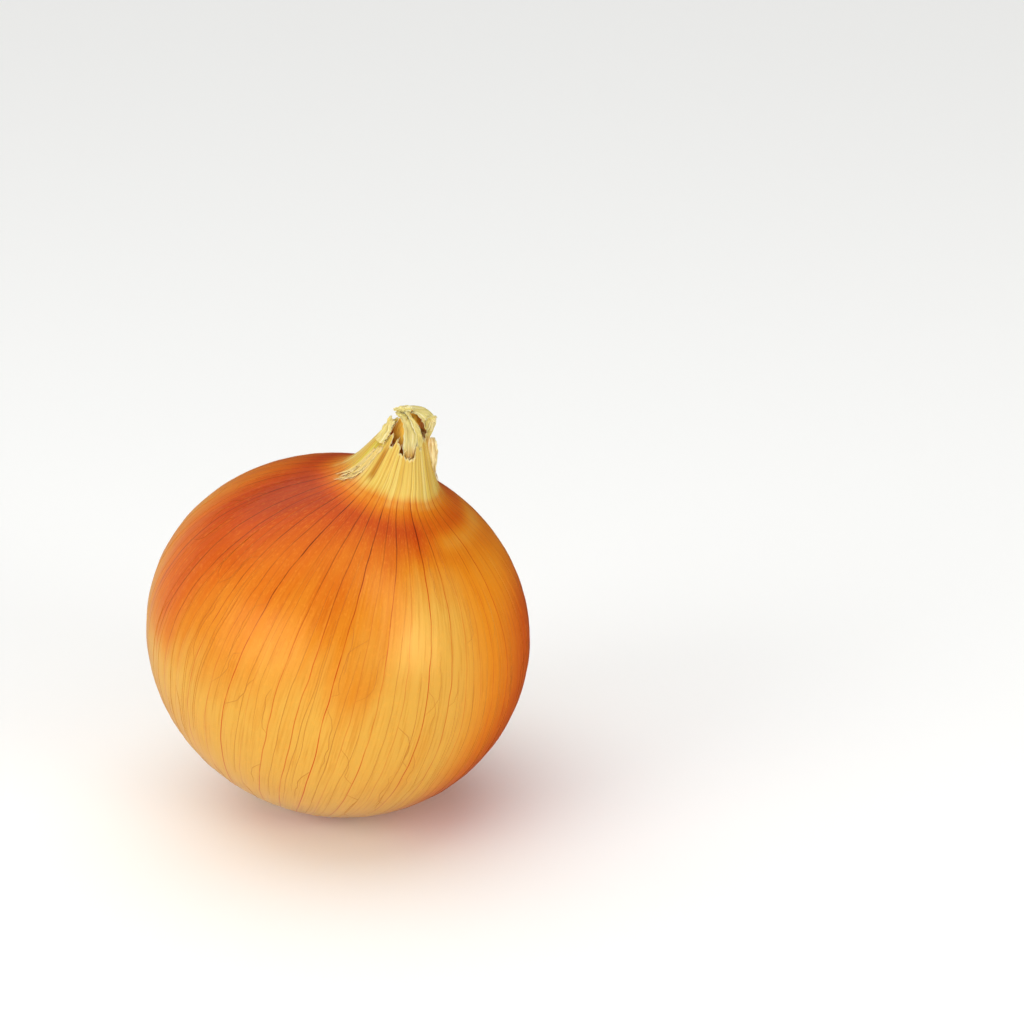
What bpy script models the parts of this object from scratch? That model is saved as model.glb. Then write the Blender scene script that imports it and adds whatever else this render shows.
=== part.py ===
"""A yellow globe onion with its dry skin, torn papery neck and dried root plate.

Metres, +Z up. The onion leans over as it rests on a small flat spot under its
root end. Its pieces are modelled about its own axis, with the middle of the
bulb at the origin, and an empty then leans them into the resting place.
Longitudes are in degrees round the onion's axis. The side that faces the
viewer, along -Y, is at longitude 90.
"""

import math
import random

import bmesh
import bpy
from mathutils import Euler, Matrix, Vector

MM = 0.001

# Driving dimensions of the bulb
EQUATOR_RADIUS = 40.0 * MM
SHOULDER_HEIGHT = 35.5 * MM
ROOT_DEPTH = 37.3 * MM
LOPSIDED_SHARE = 0.035
LOPSIDED_LONGITUDE = 23.0
OVAL_SHARE = 0.0095
OVAL_LONGITUDE = 115.0

# Driving dimensions of the neck, a pleated sleeve that narrows to its torn rim
RIM_HEIGHT = 47.3 * MM
RIM_RADIUS = 3.8 * MM
NECK_SLOPE = 0.46
NECK_BLEND = 5.5 * MM
NECK_END_HEIGHT = 37.0 * MM
NECK_SHIFT = 0.5 * MM
NECK_SHIFT_TOWARDS = 185.0
NECK_SHIFT_FROM = 34.0 * MM
NECK_SHIFT_TO = 40.0 * MM
TEAR_FOOT_HEIGHT = 42.4 * MM
SLEEVE_WALL = 0.7 * MM
RECESS_RADIUS = 5.3 * MM
RECESS_FLOOR = 41.5 * MM
INNER_SKIN_RADIUS = 3.05 * MM
INNER_SKIN_TOP = 51.7 * MM
INNER_SKIN_FOLDS = 6
INNER_SKIN_FOLD_SHARE = 0.07
INNER_SKIN_TWIST = 4.0

# Ribs that run from the neck to the root, how high they stand, and how they
# crowd and part round the onion: waves in a full turn, degrees moved
RIBS = 32
BODY_RIB = 0.12 * MM
NECK_RIB = 0.24 * MM
NECK_RIBS_FROM = 30.0 * MM
NECK_RIBS_TO = 40.0 * MM
RIB_CROWDING = ((3.0, 2.0), (7.0, 1.2))

# Driving dimensions of the root end
DIMPLE_RADIUS = 10.0 * MM
DIMPLE_DEPTH = 3.2 * MM
PLATE_RADIUS = 5.2 * MM
PLATE_EDGE = 0.4 * MM
PLATE_CROWN = 0.8 * MM
ROOTLETS = 34
ROOTLET_LENGTH = 2.6 * MM
ROOTLET_RADIUS = 0.36 * MM
ROOTLET_SUNK = 0.5 * MM
ROOTLETS_REACH = 0.86
GOLDEN_ANGLE = 137.5

# How the onion lies: the lean of its axis, towards what side, and its turn
LEAN = 16.9
LEAN_TOWARDS = -19.0
TURN = 192.3
CENTRE_TO_FLOOR = 36.9 * MM
FLOOR_CLEARANCE = 0.5 * MM

# Fineness of the solids
SKIN_STEPS = 96
INNER_STEPS = 36
PLATE_STEPS = 40
LEAF_THICKNESS = 0.7 * MM
GAP = 0.3 * MM
TOUCHING = 1e-5

# Tears and tongues of the rim: longitude, half width in degrees, rise in mm
RIM_TEARS = (
    (116.0, 14.0, -3.2),
    (99.0, 4.0, -1.4),
    (77.0, 6.0, -1.9),
    (53.0, 5.0, -1.9),
    (33.0, 15.0, 2.7),
    (143.0, 5.0, -1.6),
    (258.0, 8.0, -2.4),
    (287.0, 10.0, 0.9),
    (321.0, 9.0, -2.6),
    (350.0, 7.0, -0.8),
)

# Leaf ends: rails across each, with (longitude, radius mm, height mm) up each
HOOD = (
    (
        (158, 5.2, 44.6), (160, 3.9, 47.6), (156, 3.6, 49.9),
        (140, 3.1, 51.6), (112, 2.3, 52.7), (62, 3.4, 51.6),
    ),
    (
        (195, 5.2, 44.6), (190, 4.2, 47.6), (186, 5.0, 50.3),
        (176, 4.5, 52.0), (140, 1.2, 53.1), (30, 3.4, 51.7),
    ),
    (
        (236, 5.2, 44.6), (240, 3.9, 47.6), (248, 4.2, 49.4),
        (264, 3.6, 50.7), (300, 2.7, 51.2), (350, 3.6, 50.6),
    ),
)
MIDDLE_LEAF = (
    (
        (100, 4.1, 41.0), (100, 4.1, 44.0), (98, 3.9, 47.0),
        (88, 3.9, 49.3), (72, 3.8, 50.8), (58, 3.4, 51.5),
    ),
    (
        (117, 4.2, 41.0), (117, 4.2, 44.0), (117, 4.1, 47.2),
        (106, 4.0, 49.4), (84, 3.7, 51.2), (70, 3.0, 52.0),
    ),
    (
        (134, 4.0, 41.0), (136, 4.0, 44.0), (138, 3.8, 47.2),
        (128, 3.8, 49.6), (102, 3.3, 51.6), (86, 2.4, 52.4),
    ),
)
LOOSE_SHRED = (
    (
        (182, 7.1, 40.0), (180, 7.4, 42.0), (179, 6.4, 44.0),
        (178, 5.5, 45.8), (178, 4.9, 47.2),
    ),
    (
        (184, 8.0, 40.0), (184, 8.2, 42.0), (185, 7.4, 44.0),
        (186, 6.6, 45.8), (184, 5.7, 47.2),
    ),
)

# Colours, linear
ORANGE_SKIN = (0.68, 0.25, 0.04, 1.0)
AMBER_SKIN = (0.45, 0.19, 0.03, 1.0)
ROOT_BROWN = (0.12, 0.045, 0.02, 1.0)


def clear_scene():
    for obj in list(bpy.data.objects):
        bpy.data.objects.remove(obj, do_unlink=True)


def make_collection(name):
    made = bpy.data.collections.new(name)
    bpy.context.scene.collection.children.link(made)
    return made


def make_material(name, colour, roughness):
    material = bpy.data.materials.new(name)
    material.use_nodes = True
    shader = material.node_tree.nodes["Principled BSDF"]
    shader.inputs["Base Color"].default_value = colour
    shader.inputs["Roughness"].default_value = roughness
    shader.inputs["Metallic"].default_value = 0.0
    return material


def smooth_step(value, low, high):
    """Rises smoothly from 0 at the low value to 1 at the high one."""
    share = min(max((value - low) / (high - low), 0.0), 1.0)
    return share * share * (3.0 - 2.0 * share)


def around(longitude, radius, height):
    """The point at this longitude in degrees, radius and height."""
    angle = math.radians(longitude)
    return Vector((radius * math.cos(angle), radius * math.sin(angle), height))


def lying_pose():
    """The turn, then the lean, that bring the onion's own frame into the world's."""
    lean = Euler((0.0, math.radians(LEAN), math.radians(LEAN_TOWARDS))).to_matrix()
    return lean @ Matrix.Rotation(math.radians(TURN), 3, "Z")


def top_height(radius):
    """Height of the skin at this radius: a steep cone that flares into a flat dome."""
    cone = RIM_HEIGHT - (radius - RIM_RADIUS) / NECK_SLOPE
    dome = SHOULDER_HEIGHT * math.sqrt(1.0 - min(radius / EQUATOR_RADIUS, 1.0) ** 2)
    return 0.5 * (cone + dome + math.hypot(cone - dome, NECK_BLEND))


def neck_radius(height):
    """Outer radius of the neck's sleeve at this height."""
    low, high = 0.0, EQUATOR_RADIUS
    for _ in range(24):
        middle = 0.5 * (low + high)
        if top_height(middle) > height:
            low = middle
        else:
            high = middle
    return low


def recess_radius(height):
    return min(neck_radius(height) - SLEEVE_WALL, RECESS_RADIUS)


def rim_height(longitude):
    """Height of the torn rim, with its notches and tongues."""
    height = RIM_HEIGHT
    for middle, half_width, rise in RIM_TEARS:
        away = (longitude - middle + 180.0) % 360.0 - 180.0
        height += rise * MM / (1.0 + (away / half_width) ** 6)
    return height


def dimple(radius):
    """How far the root end is drawn in at this radius."""
    return DIMPLE_DEPTH * (1.0 - smooth_step(radius, 0.0, DIMPLE_RADIUS))


def bulb_profile():
    """Half section of bulb and neck, from the middle of the recess out, up and down."""
    points = [(0.0, RECESS_FLOOR)]
    inner_rows = 4
    for row in range(inner_rows + 1):
        height = RECESS_FLOOR + (RIM_HEIGHT - RECESS_FLOOR) * row / inner_rows
        points.append((recess_radius(height), height))
    outer_rows = 12
    for row in range(outer_rows + 1):
        height = RIM_HEIGHT + (NECK_END_HEIGHT - RIM_HEIGHT) * row / outer_rows
        points.append((neck_radius(height), height))
    first_angle = math.degrees(math.asin(neck_radius(NECK_END_HEIGHT) / EQUATOR_RADIUS))
    root_angle = 165.0
    body_rows = 20
    for row in range(1, body_rows):
        points.append(body_point(first_angle + (root_angle - first_angle) * row / body_rows))
    root_rows = 5
    for row in range(root_rows):
        points.append(body_point(root_angle + (180.0 - root_angle) * row / root_rows))
    points.append((0.0, body_point(180.0)[1]))
    return points


def body_point(angle):
    """(radius, height) of the bulb's outside at this angle from its top, in degrees."""
    radius = EQUATOR_RADIUS * math.sin(math.radians(angle))
    if angle > 90.0:
        return radius, ROOT_DEPTH * math.cos(math.radians(angle)) + dimple(radius)
    return radius, top_height(radius)


def turned(name, profile, steps):
    """A solid turned from a half section by a Screw modifier, as a plain mesh object."""
    outline = bpy.data.meshes.new(name)
    edges = [(first, first + 1) for first in range(len(profile) - 1)]
    outline.from_pydata([(radius, 0.0, height) for radius, height in profile], edges, [])
    obj = bpy.data.objects.new(name, outline)
    bpy.context.scene.collection.objects.link(obj)
    screw = obj.modifiers.new("turn", "SCREW")
    screw.steps = steps
    screw.render_steps = steps
    screw.use_merge_vertices = True
    screw.merge_threshold = TOUCHING
    return as_mesh(obj)


def as_mesh(obj):
    """Applies the object's modifiers."""
    bpy.context.view_layer.update()
    graph = bpy.context.evaluated_depsgraph_get()
    applied = bpy.data.meshes.new_from_object(obj.evaluated_get(graph))
    obj.modifiers.clear()
    obj.data = applied
    return obj


def crowded(longitude):
    """The longitude to which the uneven spacing of the ribs moves this one."""
    moved = sum(degrees * math.sin(math.radians(waves * longitude)) for waves, degrees in RIB_CROWDING)
    return longitude + moved


def shape_skin(obj):
    """Moves every point of the turned bulb to its place on the real, uneven one."""
    for vertex in obj.data.vertices:
        radius = math.hypot(vertex.co.x, vertex.co.y)
        if radius < TOUCHING:
            continue
        longitude = math.degrees(math.atan2(vertex.co.y, vertex.co.x)) % 360.0
        vertex.co = shaped_point(longitude, radius, vertex.co.z)


def shaped_point(longitude, radius, height):
    """Tears the rim, raises the ribs, swells one side and shifts the neck."""
    placed = crowded(longitude)
    inside = height > RECESS_FLOOR - TOUCHING and radius < neck_radius(height) - 0.5 * SLEEVE_WALL
    if height > TEAR_FOOT_HEIGHT:
        reach = (rim_height(placed) - TEAR_FOOT_HEIGHT) / (RIM_HEIGHT - TEAR_FOOT_HEIGHT)
        height = TEAR_FOOT_HEIGHT + (height - TEAR_FOOT_HEIGHT) * reach
        radius = recess_radius(height) if inside else neck_radius(height)
    if not inside:
        radius += rib_height(radius, height) * math.cos(math.radians(RIBS * longitude))
    girth = (radius / EQUATOR_RADIUS) ** 2
    lopsided = LOPSIDED_SHARE * math.cos(math.radians(placed - LOPSIDED_LONGITUDE))
    oval = OVAL_SHARE * math.cos(math.radians(2.0 * (placed - OVAL_LONGITUDE)))
    swell = 1.0 + girth * (lopsided + oval)
    shift = NECK_SHIFT * smooth_step(height, NECK_SHIFT_FROM, NECK_SHIFT_TO)
    return around(placed, radius * swell, height * swell) + around(NECK_SHIFT_TOWARDS, shift, 0.0)


def rib_height(radius, height):
    """How high the ribs stand here: highest on the neck, and gone in the dimple."""
    if height < 0.0:
        return BODY_RIB * smooth_step(radius, 0.0, DIMPLE_RADIUS)
    return BODY_RIB + (NECK_RIB - BODY_RIB) * smooth_step(height, NECK_RIBS_FROM, NECK_RIBS_TO)


def cut_flat_spot(obj):
    """Cuts the bulb level with the floor and returns the middle of the flat spot."""
    down = lying_pose().inverted() @ Vector((0.0, 0.0, -1.0))
    mesh = bmesh.new()
    mesh.from_mesh(obj.data)
    everything = mesh.verts[:] + mesh.edges[:] + mesh.faces[:]
    cut = bmesh.ops.bisect_plane(
        mesh, geom=everything, dist=1e-7, plane_co=down * CENTRE_TO_FLOOR, plane_no=down, clear_outer=True
    )
    rim = [piece for piece in cut["geom_cut"] if isinstance(piece, bmesh.types.BMEdge)]
    filled = bmesh.ops.contextual_create(mesh, geom=rim)["faces"][0]
    filled.normal_update()
    if filled.normal.dot(down) < 0.0:
        filled.normal_flip()
    middle = filled.calc_center_median()
    mesh.to_mesh(obj.data)
    mesh.free()
    return middle


def smooth_rail(rail, rows):
    """Points evenly along a smooth curve through a rail's own points."""
    shift = around(NECK_SHIFT_TOWARDS, NECK_SHIFT, 0.0)
    points = [around(longitude, radius * MM, height * MM) + shift for longitude, radius, height in rail]
    points = [2.0 * points[0] - points[1]] + points + [2.0 * points[-1] - points[-2]]
    spans = len(points) - 3
    found = []
    for row in range(rows + 1):
        place = spans * row / rows
        span = min(int(place), spans - 1)
        t = place - span
        a, b, c, d = points[span : span + 4]
        bend = (2.0 * a - 5.0 * b + 4.0 * c - d) * t * t + (3.0 * b - a - 3.0 * c + d) * t**3
        found.append(b + 0.5 * ((c - a) * t + bend))
    return found


def leaf_end(name, rails, rows, columns):
    """A dried leaf end: a sheet lofted across its rails, then given its thickness."""
    curves = [smooth_rail(rail, rows) for rail in rails]
    mesh = bmesh.new()
    grid = []
    for row in range(rows + 1):
        across = [curve[row] for curve in curves]
        grid.append([mesh.verts.new(across_rails(across, column / columns)) for column in range(columns + 1)])
    for row in range(rows):
        near, far = grid[row], grid[row + 1]
        for column in range(columns):
            mesh.faces.new((near[column], near[column + 1], far[column + 1], far[column]))
    bmesh.ops.triangulate(mesh, faces=mesh.faces[:])
    bmesh.ops.recalc_face_normals(mesh, faces=mesh.faces[:])
    sheet = bpy.data.meshes.new(name)
    mesh.to_mesh(sheet)
    mesh.free()
    obj = bpy.data.objects.new(name, sheet)
    bpy.context.scene.collection.objects.link(obj)
    solidify = obj.modifiers.new("thickness", "SOLIDIFY")
    solidify.thickness = LEAF_THICKNESS
    solidify.offset = 0.0
    return as_mesh(obj)


def across_rails(points, share):
    """A point of the straight or arched line across two or three rails."""
    if len(points) == 2:
        return points[0].lerp(points[1], share)
    first, middle, last = points
    crown = 2.0 * middle - 0.5 * (first + last)
    return first.lerp(crown, share).lerp(crown.lerp(last, share), share)


def unite(obj, others, solver):
    """Joins the other objects to this one in one Boolean union, and removes them."""
    joined = make_collection(f"{obj.name} joins")
    for other in others:
        for holder in list(other.users_collection):
            holder.objects.unlink(other)
        joined.objects.link(other)
    union = obj.modifiers.new("union", "BOOLEAN")
    union.operation = "UNION"
    union.operand_type = "COLLECTION"
    union.collection = joined
    union.solver = solver
    as_mesh(obj)
    for other in others:
        bpy.data.objects.remove(other, do_unlink=True)
    bpy.data.collections.remove(joined)


def make_bulb():
    """The bulb with its dry skin, its neck and the leaf ends grown with it."""
    bulb = turned("bulb", bulb_profile(), SKIN_STEPS)
    shape_skin(bulb)
    flat_spot = cut_flat_spot(bulb)
    leaf_ends = [
        leaf_end("hood", HOOD, 16, 8),
        leaf_end("middle_leaf", MIDDLE_LEAF, 14, 5),
        leaf_end("loose_shred", LOOSE_SHRED, 8, 2),
    ]
    unite(bulb, leaf_ends, "EXACT")
    return bulb, flat_spot


def make_inner_skin():
    """The inner skin, rolled up in the neck with a few folds."""
    foot = RECESS_FLOOR + GAP
    top = INNER_SKIN_TOP
    rows = 9
    profile = [(0.0, top)]
    for row in range(1, rows + 1):
        fall = row / rows
        profile.append((INNER_SKIN_RADIUS * fall**0.33, top + (foot - top) * fall**1.5))
    profile.append((0.0, foot))
    rolled = turned("neck_inner_skin", profile, INNER_STEPS)
    shift = around(NECK_SHIFT_TOWARDS, NECK_SHIFT, 0.0)
    for vertex in rolled.data.vertices:
        radius = math.hypot(vertex.co.x, vertex.co.y)
        longitude = math.degrees(math.atan2(vertex.co.y, vertex.co.x))
        turn = INNER_SKIN_FOLDS * longitude + INNER_SKIN_TWIST * (vertex.co.z - foot) / MM
        fold = 1.0 - INNER_SKIN_FOLD_SHARE * (1.0 + math.cos(math.radians(turn)))
        vertex.co = around(longitude, radius * fold, vertex.co.z) + shift
    return rolled


def plate_height(radius):
    """Height of the root plate's upper side, a gap below the skin of the dimple."""
    share = math.sqrt(1.0 - (radius / EQUATOR_RADIUS) ** 2)
    return dimple(radius) - ROOT_DEPTH * share - GAP


def plate_underside(radius):
    crown = 1.0 - (radius / PLATE_RADIUS) ** 2
    return plate_height(radius) - PLATE_EDGE - PLATE_CROWN * crown


def make_root_plate():
    """The dried root plate with its short rootlets, all above the floor."""
    rows = 4
    radii = [PLATE_RADIUS * row / rows for row in range(rows + 1)]
    profile = [(radius, plate_height(radius)) for radius in radii]
    profile += [(radius, plate_underside(radius)) for radius in reversed(radii)]
    plate = turned("root_plate", profile, PLATE_STEPS)
    rootlets = [make_rootlet(number) for number in range(ROOTLETS)]
    unite(plate, rootlets, "MANIFOLD")
    return plate


def make_rootlet(number):
    """A short dried rootlet, bent outwards, its root sunk in the plate."""
    draw = random.Random(number)
    share = math.sqrt((number + 0.5) / ROOTLETS)
    longitude = GOLDEN_ANGLE * number + draw.uniform(-12.0, 12.0)
    radius = ROOTLETS_REACH * PLATE_RADIUS * share
    start = around(longitude, radius, plate_underside(radius) + ROOTLET_SUNK)
    outwards = around(longitude + draw.uniform(-35.0, 35.0), 0.35 + 0.75 * share, -1.0).normalized()
    bend = around(longitude + draw.uniform(-90.0, 90.0), 0.5, 0.25)
    length = ROOTLET_LENGTH * draw.uniform(0.7, 1.3)
    path = rootlet_path(start, outwards, bend, length)
    while lowest_above_floor(path) < FLOOR_CLEARANCE + ROOTLET_RADIUS and length > 0.2 * MM:
        length *= 0.9
        path = rootlet_path(start, outwards, bend, length)
    return tapered_tube(f"rootlet_{number}", path)


def rootlet_path(start, direction, bend, length):
    joints = 4
    points = []
    for joint in range(joints):
        share = joint / (joints - 1)
        points.append(start + length * (direction * share + bend * share * share))
    return points


def lowest_above_floor(points):
    pose = lying_pose()
    return min((pose @ point).z + CENTRE_TO_FLOOR for point in points)


def tapered_tube(name, path):
    """A five-sided tube through the points, thinner at its far end."""
    curve = bpy.data.curves.new(name, "CURVE")
    curve.dimensions = "3D"
    curve.bevel_depth = ROOTLET_RADIUS
    curve.bevel_resolution = 0
    curve.use_fill_caps = True
    spline = curve.splines.new("POLY")
    spline.points.add(len(path) - 1)
    for place, (point, at) in enumerate(zip(path, spline.points)):
        at.co = (*point, 1.0)
        at.radius = 1.0 - 0.5 * place / (len(path) - 1)
    drawn = bpy.data.objects.new(name, curve)
    bpy.context.scene.collection.objects.link(drawn)
    bpy.context.view_layer.update()
    graph = bpy.context.evaluated_depsgraph_get()
    solid = bpy.data.meshes.new_from_object(drawn.evaluated_get(graph))
    bpy.data.objects.remove(drawn, do_unlink=True)
    mesh = bmesh.new()
    mesh.from_mesh(solid)
    bmesh.ops.remove_doubles(mesh, verts=mesh.verts[:], dist=TOUCHING)
    bmesh.ops.recalc_face_normals(mesh, faces=mesh.faces[:])
    mesh.to_mesh(solid)
    mesh.free()
    obj = bpy.data.objects.new(name, solid)
    bpy.context.scene.collection.objects.link(obj)
    return obj


def finish_piece(obj, collection, material, frame):
    """Files a piece in the onion's collection, shades it and stands it in the onion's frame."""
    for holder in list(obj.users_collection):
        holder.objects.unlink(obj)
    collection.objects.link(obj)
    obj.data.materials.clear()
    obj.data.materials.append(material)
    obj.data.shade_smooth()
    obj.data.set_sharp_from_angle(angle=math.radians(40.0))
    obj.parent = frame


def main():
    clear_scene()
    onion = make_collection("onion")
    frame = bpy.data.objects.new("onion_axis", None)
    onion.objects.link(frame)
    bulb, flat_spot = make_bulb()
    finish_piece(bulb, onion, make_material("dry_orange_skin", ORANGE_SKIN, 0.45), frame)
    finish_piece(make_inner_skin(), onion, make_material("dry_amber_skin", AMBER_SKIN, 0.5), frame)
    finish_piece(make_root_plate(), onion, make_material("dried_root", ROOT_BROWN, 0.8), frame)
    pose = lying_pose()
    frame.rotation_euler = pose.to_euler()
    frame.location = -(pose @ flat_spot)


main()
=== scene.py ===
"""Looks of a yellow globe onion: veined papery skin, torn neck, inner skin and root plate.

Metres, +Z up. Every piece is worked out about the onion's own axis, in longitude round
it, radius from it and height along it, and is then leaned over into its resting place.
Longitude 90 faces the viewer, along -Y.
"""

import math

import bpy
import numpy as np
from bpy.props import FloatProperty, FloatVectorProperty, IntProperty, PointerProperty
from mathutils import Euler, Matrix, Vector, noise


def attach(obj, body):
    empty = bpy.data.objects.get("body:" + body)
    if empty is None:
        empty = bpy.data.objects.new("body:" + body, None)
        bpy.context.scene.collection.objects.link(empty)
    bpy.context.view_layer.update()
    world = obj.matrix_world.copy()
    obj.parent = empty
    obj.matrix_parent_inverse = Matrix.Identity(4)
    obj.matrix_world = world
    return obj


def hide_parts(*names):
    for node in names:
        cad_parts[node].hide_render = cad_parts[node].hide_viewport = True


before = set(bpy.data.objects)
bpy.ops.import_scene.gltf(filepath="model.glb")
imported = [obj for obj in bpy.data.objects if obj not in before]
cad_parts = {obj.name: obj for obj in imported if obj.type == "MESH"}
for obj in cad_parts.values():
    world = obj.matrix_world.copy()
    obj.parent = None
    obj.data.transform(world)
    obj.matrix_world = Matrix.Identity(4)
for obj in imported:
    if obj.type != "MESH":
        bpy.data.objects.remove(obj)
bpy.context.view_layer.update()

bl_info = {
    "name": "Globe Onion",
    "version": (1, 0, 0),
    "blender": (4, 5, 0),
    "location": "View3D > Sidebar > Onion",
    "description": "Builds the papery skin, torn neck and root plate of a globe onion",
    "category": "Add Mesh",
}

MM = 0.001

# Seeds of the random draws. The leaf ends, slivers and rootlets count on from theirs
VEIN_SEED, SKIN_SEED, FIBRE_SEED, FINE_VEIN_SEED = 7, 11, 21, 31
LEAF_SEED, SLIVER_SEED, ROOTLET_SEED = 3, 21, 100

# The bulb's form, in mm, by the same rules as its solid
EQUATOR_RADIUS = 40.0
SHOULDER_HEIGHT = 35.5
ROOT_DEPTH = 37.3
LOPSIDED_SHARE, LOPSIDED_LONGITUDE = 0.035, 23.0
OVAL_SHARE, OVAL_LONGITUDE = 0.0095, 115.0
RIM_HEIGHT, RIM_RADIUS = 47.3, 3.8
NECK_SLOPE, NECK_BLEND = 0.46, 5.5
NECK_SHIFT, NECK_SHIFT_TOWARDS = 0.5, 185.0
NECK_SHIFT_FROM, NECK_SHIFT_TO = 34.0, 40.0
TEAR_FOOT_HEIGHT = 42.4
RECESS_RADIUS, RECESS_FLOOR = 5.3, 41.5
DIMPLE_RADIUS, DIMPLE_DEPTH = 10.0, 3.2
PLATE_RADIUS, PLATE_EDGE, PLATE_CROWN = 5.2, 0.4, 0.8
GAP = 0.3

# The skin's rows of points: down the recess, down the neck, over the body, and into the dimple
RECESS_ROWS, NECK_ROWS, BODY_ROWS, DIMPLE_ROWS = 12, 44, 112, 6
NECK_END_HEIGHT, BODY_END_ANGLE, DIMPLE_END_ANGLE = 36.4, 172.0, 179.4
# The body's rows lie a little closer together near the neck
ROW_CROWDING = 1.06

# Points round the rim between which its fray changes
FRAY_KNOTS = 150
# The skin is this thick at its torn rim, and this much thicker this far below it
RIM_WALL, WALL_GAIN, WALL_DEPTH = 0.18, 0.5, 2.5
# Heights between which the body's relief gives way to the neck's
NECK_RELIEF_FROM, NECK_RELIEF_TO = 33.0, 39.0
# How much of its relief the skin between two veins gets, at least and at most
PUFF_SHARES = (0.15, 1.25)

# How the onion lies on its flat spot
LEAN, LEAN_TOWARDS, TURN = 16.9, -19.0, 192.3
BULB_MIDDLE = (-0.464, 0.018, 36.9)
FLOOR_CLEARANCE = 0.4

# Thin skin mirrors red and yellow more than blue
SKIN_SHEEN = (1.0, 0.64, 0.22)

# Longitudes of the neck's left side, of the darkest skin and of the skin that stays dark furthest down, and
# the angles from the top where the neck's straw ends and the root end's begins
NECK_LEFT, DARKEST, LATEST = 22.0, 30.0, 66.0
STRAW_END, ROOT_STRAW_FROM, ROOT_STRAW_TO = 15.2, 161.5, 166.5

# Tears and tongues of the rim: longitude, half width in degrees, rise in mm
RIM_TEARS = (
    (116.0, 14.0, -3.2), (96.0, 5.0, -2.4), (85.0, 7.0, -1.2), (70.0, 5.5, -2.2),
    (46.5, 4.5, -1.9), (33.0, 15.0, 2.7), (143.0, 5.0, -1.6), (258.0, 8.0, -2.4),
    (287.0, 10.0, 0.9), (321.0, 9.0, -2.6), (350.0, 7.0, -0.8),
)

# Veins on the side that shows: longitude, how strongly each is marked
FRONT_VEINS = (
    (40.1, 0.7), (46.6, 0.3), (53.4, 0.75), (60.3, 0.55), (66.7, 1.0), (73.4, 0.3),
    (80.1, 0.7), (87.1, 0.75), (94.5, 1.0), (101.0, 0.4), (107.8, 0.8), (115.0, 0.4),
    (122.4, 1.0), (130.2, 0.75), (136.0, 0.45), (142.2, 0.35), (148.0, 0.65),
)
OTHER_VEINS = 33
VEIN_WIDTH = 0.28
# How a vein strays: over each of these lengths in mm, by up to so many degrees
VEIN_SWAYS = ((11.0, 0.38), (3.0, 0.19))
# Fine veins, the long ones and those at the side of a main vein: radii in mm, and where they start and end
# in degrees from the top
LONG_VEIN_RADII, LONG_VEIN_STARTS, LONG_VEIN_ENDS = (0.04, 0.065), (28.0, 80.0), (98.0, 150.0)
SIDE_VEIN_RADII, SIDE_VEIN_STARTS, SIDE_VEINS_PER_GAP = (0.05, 0.07), (42.0, 138.0), 1.7
# Where the skin's columns lie between one vein and the next
COLUMN_PLACES = (0.0, 0.05, 0.12, 0.25, 0.42, 0.58, 0.75, 0.88, 0.95)

# Leaf ends of the neck: rails across each, with (longitude, radius mm, height mm) up each
HOOD = (
    ((176, 4.7, 44.6), (174, 4.1, 47.1), (168, 4.0, 48.8), (153, 3.9, 50.2), (136, 3.8, 51.4),
     (122, 3.6, 52.3), (104, 3.1, 52.7), (84, 2.9, 52.7)),
    ((186, 5.2, 44.6), (184, 4.7, 47.3), (183, 4.8, 49.2), (180, 5.1, 50.9), (168, 4.6, 52.2),
     (160, 3.5, 52.7), (138, 2.2, 52.9), (92, 2.0, 52.9)),
    ((215, 5.2, 44.6), (218, 4.6, 47.2), (222, 4.7, 49.2), (228, 4.6, 50.8), (236, 4.0, 51.5),
     (246, 3.2, 51.9), (270, 1.9, 52.1), (350, 1.7, 52.2)),
    ((245, 5.2, 44.6), (250, 4.5, 46.8), (256, 4.2, 48.6), (264, 3.8, 50.2), (276, 3.4, 50.8),
     (290, 3.0, 51.1), (312, 2.6, 51.3), (350, 2.8, 51.3)),
)
HOOD_LIP = (
    ((150, 3.7, 50.0), (145, 3.75, 51.3), (143, 4.0, 52.2), (145, 4.7, 53.0), (149, 5.5, 53.6)),
    ((161, 4.2, 49.4), (156, 4.45, 50.9), (151, 4.9, 52.1), (150, 5.3, 53.0), (150, 5.7, 53.6)),
    ((173, 4.7, 49.2), (166, 5.1, 50.8), (159, 5.5, 52.0), (154, 5.7, 52.9), (151, 5.8, 53.6)),
)
MIDDLE_LEAF = (
    ((112, 4.5, 41.3), (110, 4.6, 42.8), (101, 4.5, 44.5), (93, 4.2, 46.9), (86, 4.0, 49.1),
     (75, 3.8, 50.7), (59, 3.6, 51.5), (36, 3.6, 51.5)),
    ((124, 4.7, 41.3), (122, 4.7, 42.8), (113, 4.6, 45.3), (107, 4.45, 47.5), (101, 4.35, 49.6),
     (89, 4.2, 51.2), (75, 3.9, 52.1), (48, 3.7, 52.3)),
    ((145, 4.5, 41.3), (143, 4.6, 42.8), (131, 4.5, 45.3), (129, 4.4, 47.4), (122, 4.4, 49.2),
     (105, 4.3, 51.1), (89, 4.1, 52.2), (62, 3.7, 52.9)),
)
FOLD_BAND = (
    ((136, 4.2, 43.4), (133, 4.5, 46.4), (123, 4.6, 48.2), (112, 4.65, 49.7), (97, 4.6, 51.4),
     (85, 4.4, 52.4), (71, 4.1, 52.9)),
    ((146, 4.3, 43.4), (143, 4.5, 46.2), (134, 4.75, 48.2), (121, 4.8, 49.9), (107, 4.8, 51.4),
     (92, 4.6, 52.6), (78, 4.3, 53.2)),
    ((156, 4.2, 43.4), (153, 4.3, 46.1), (142, 4.4, 48.3), (129, 4.6, 49.9), (116, 4.7, 51.2),
     (100, 4.6, 52.3), (86, 4.3, 53.2)),
)
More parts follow.
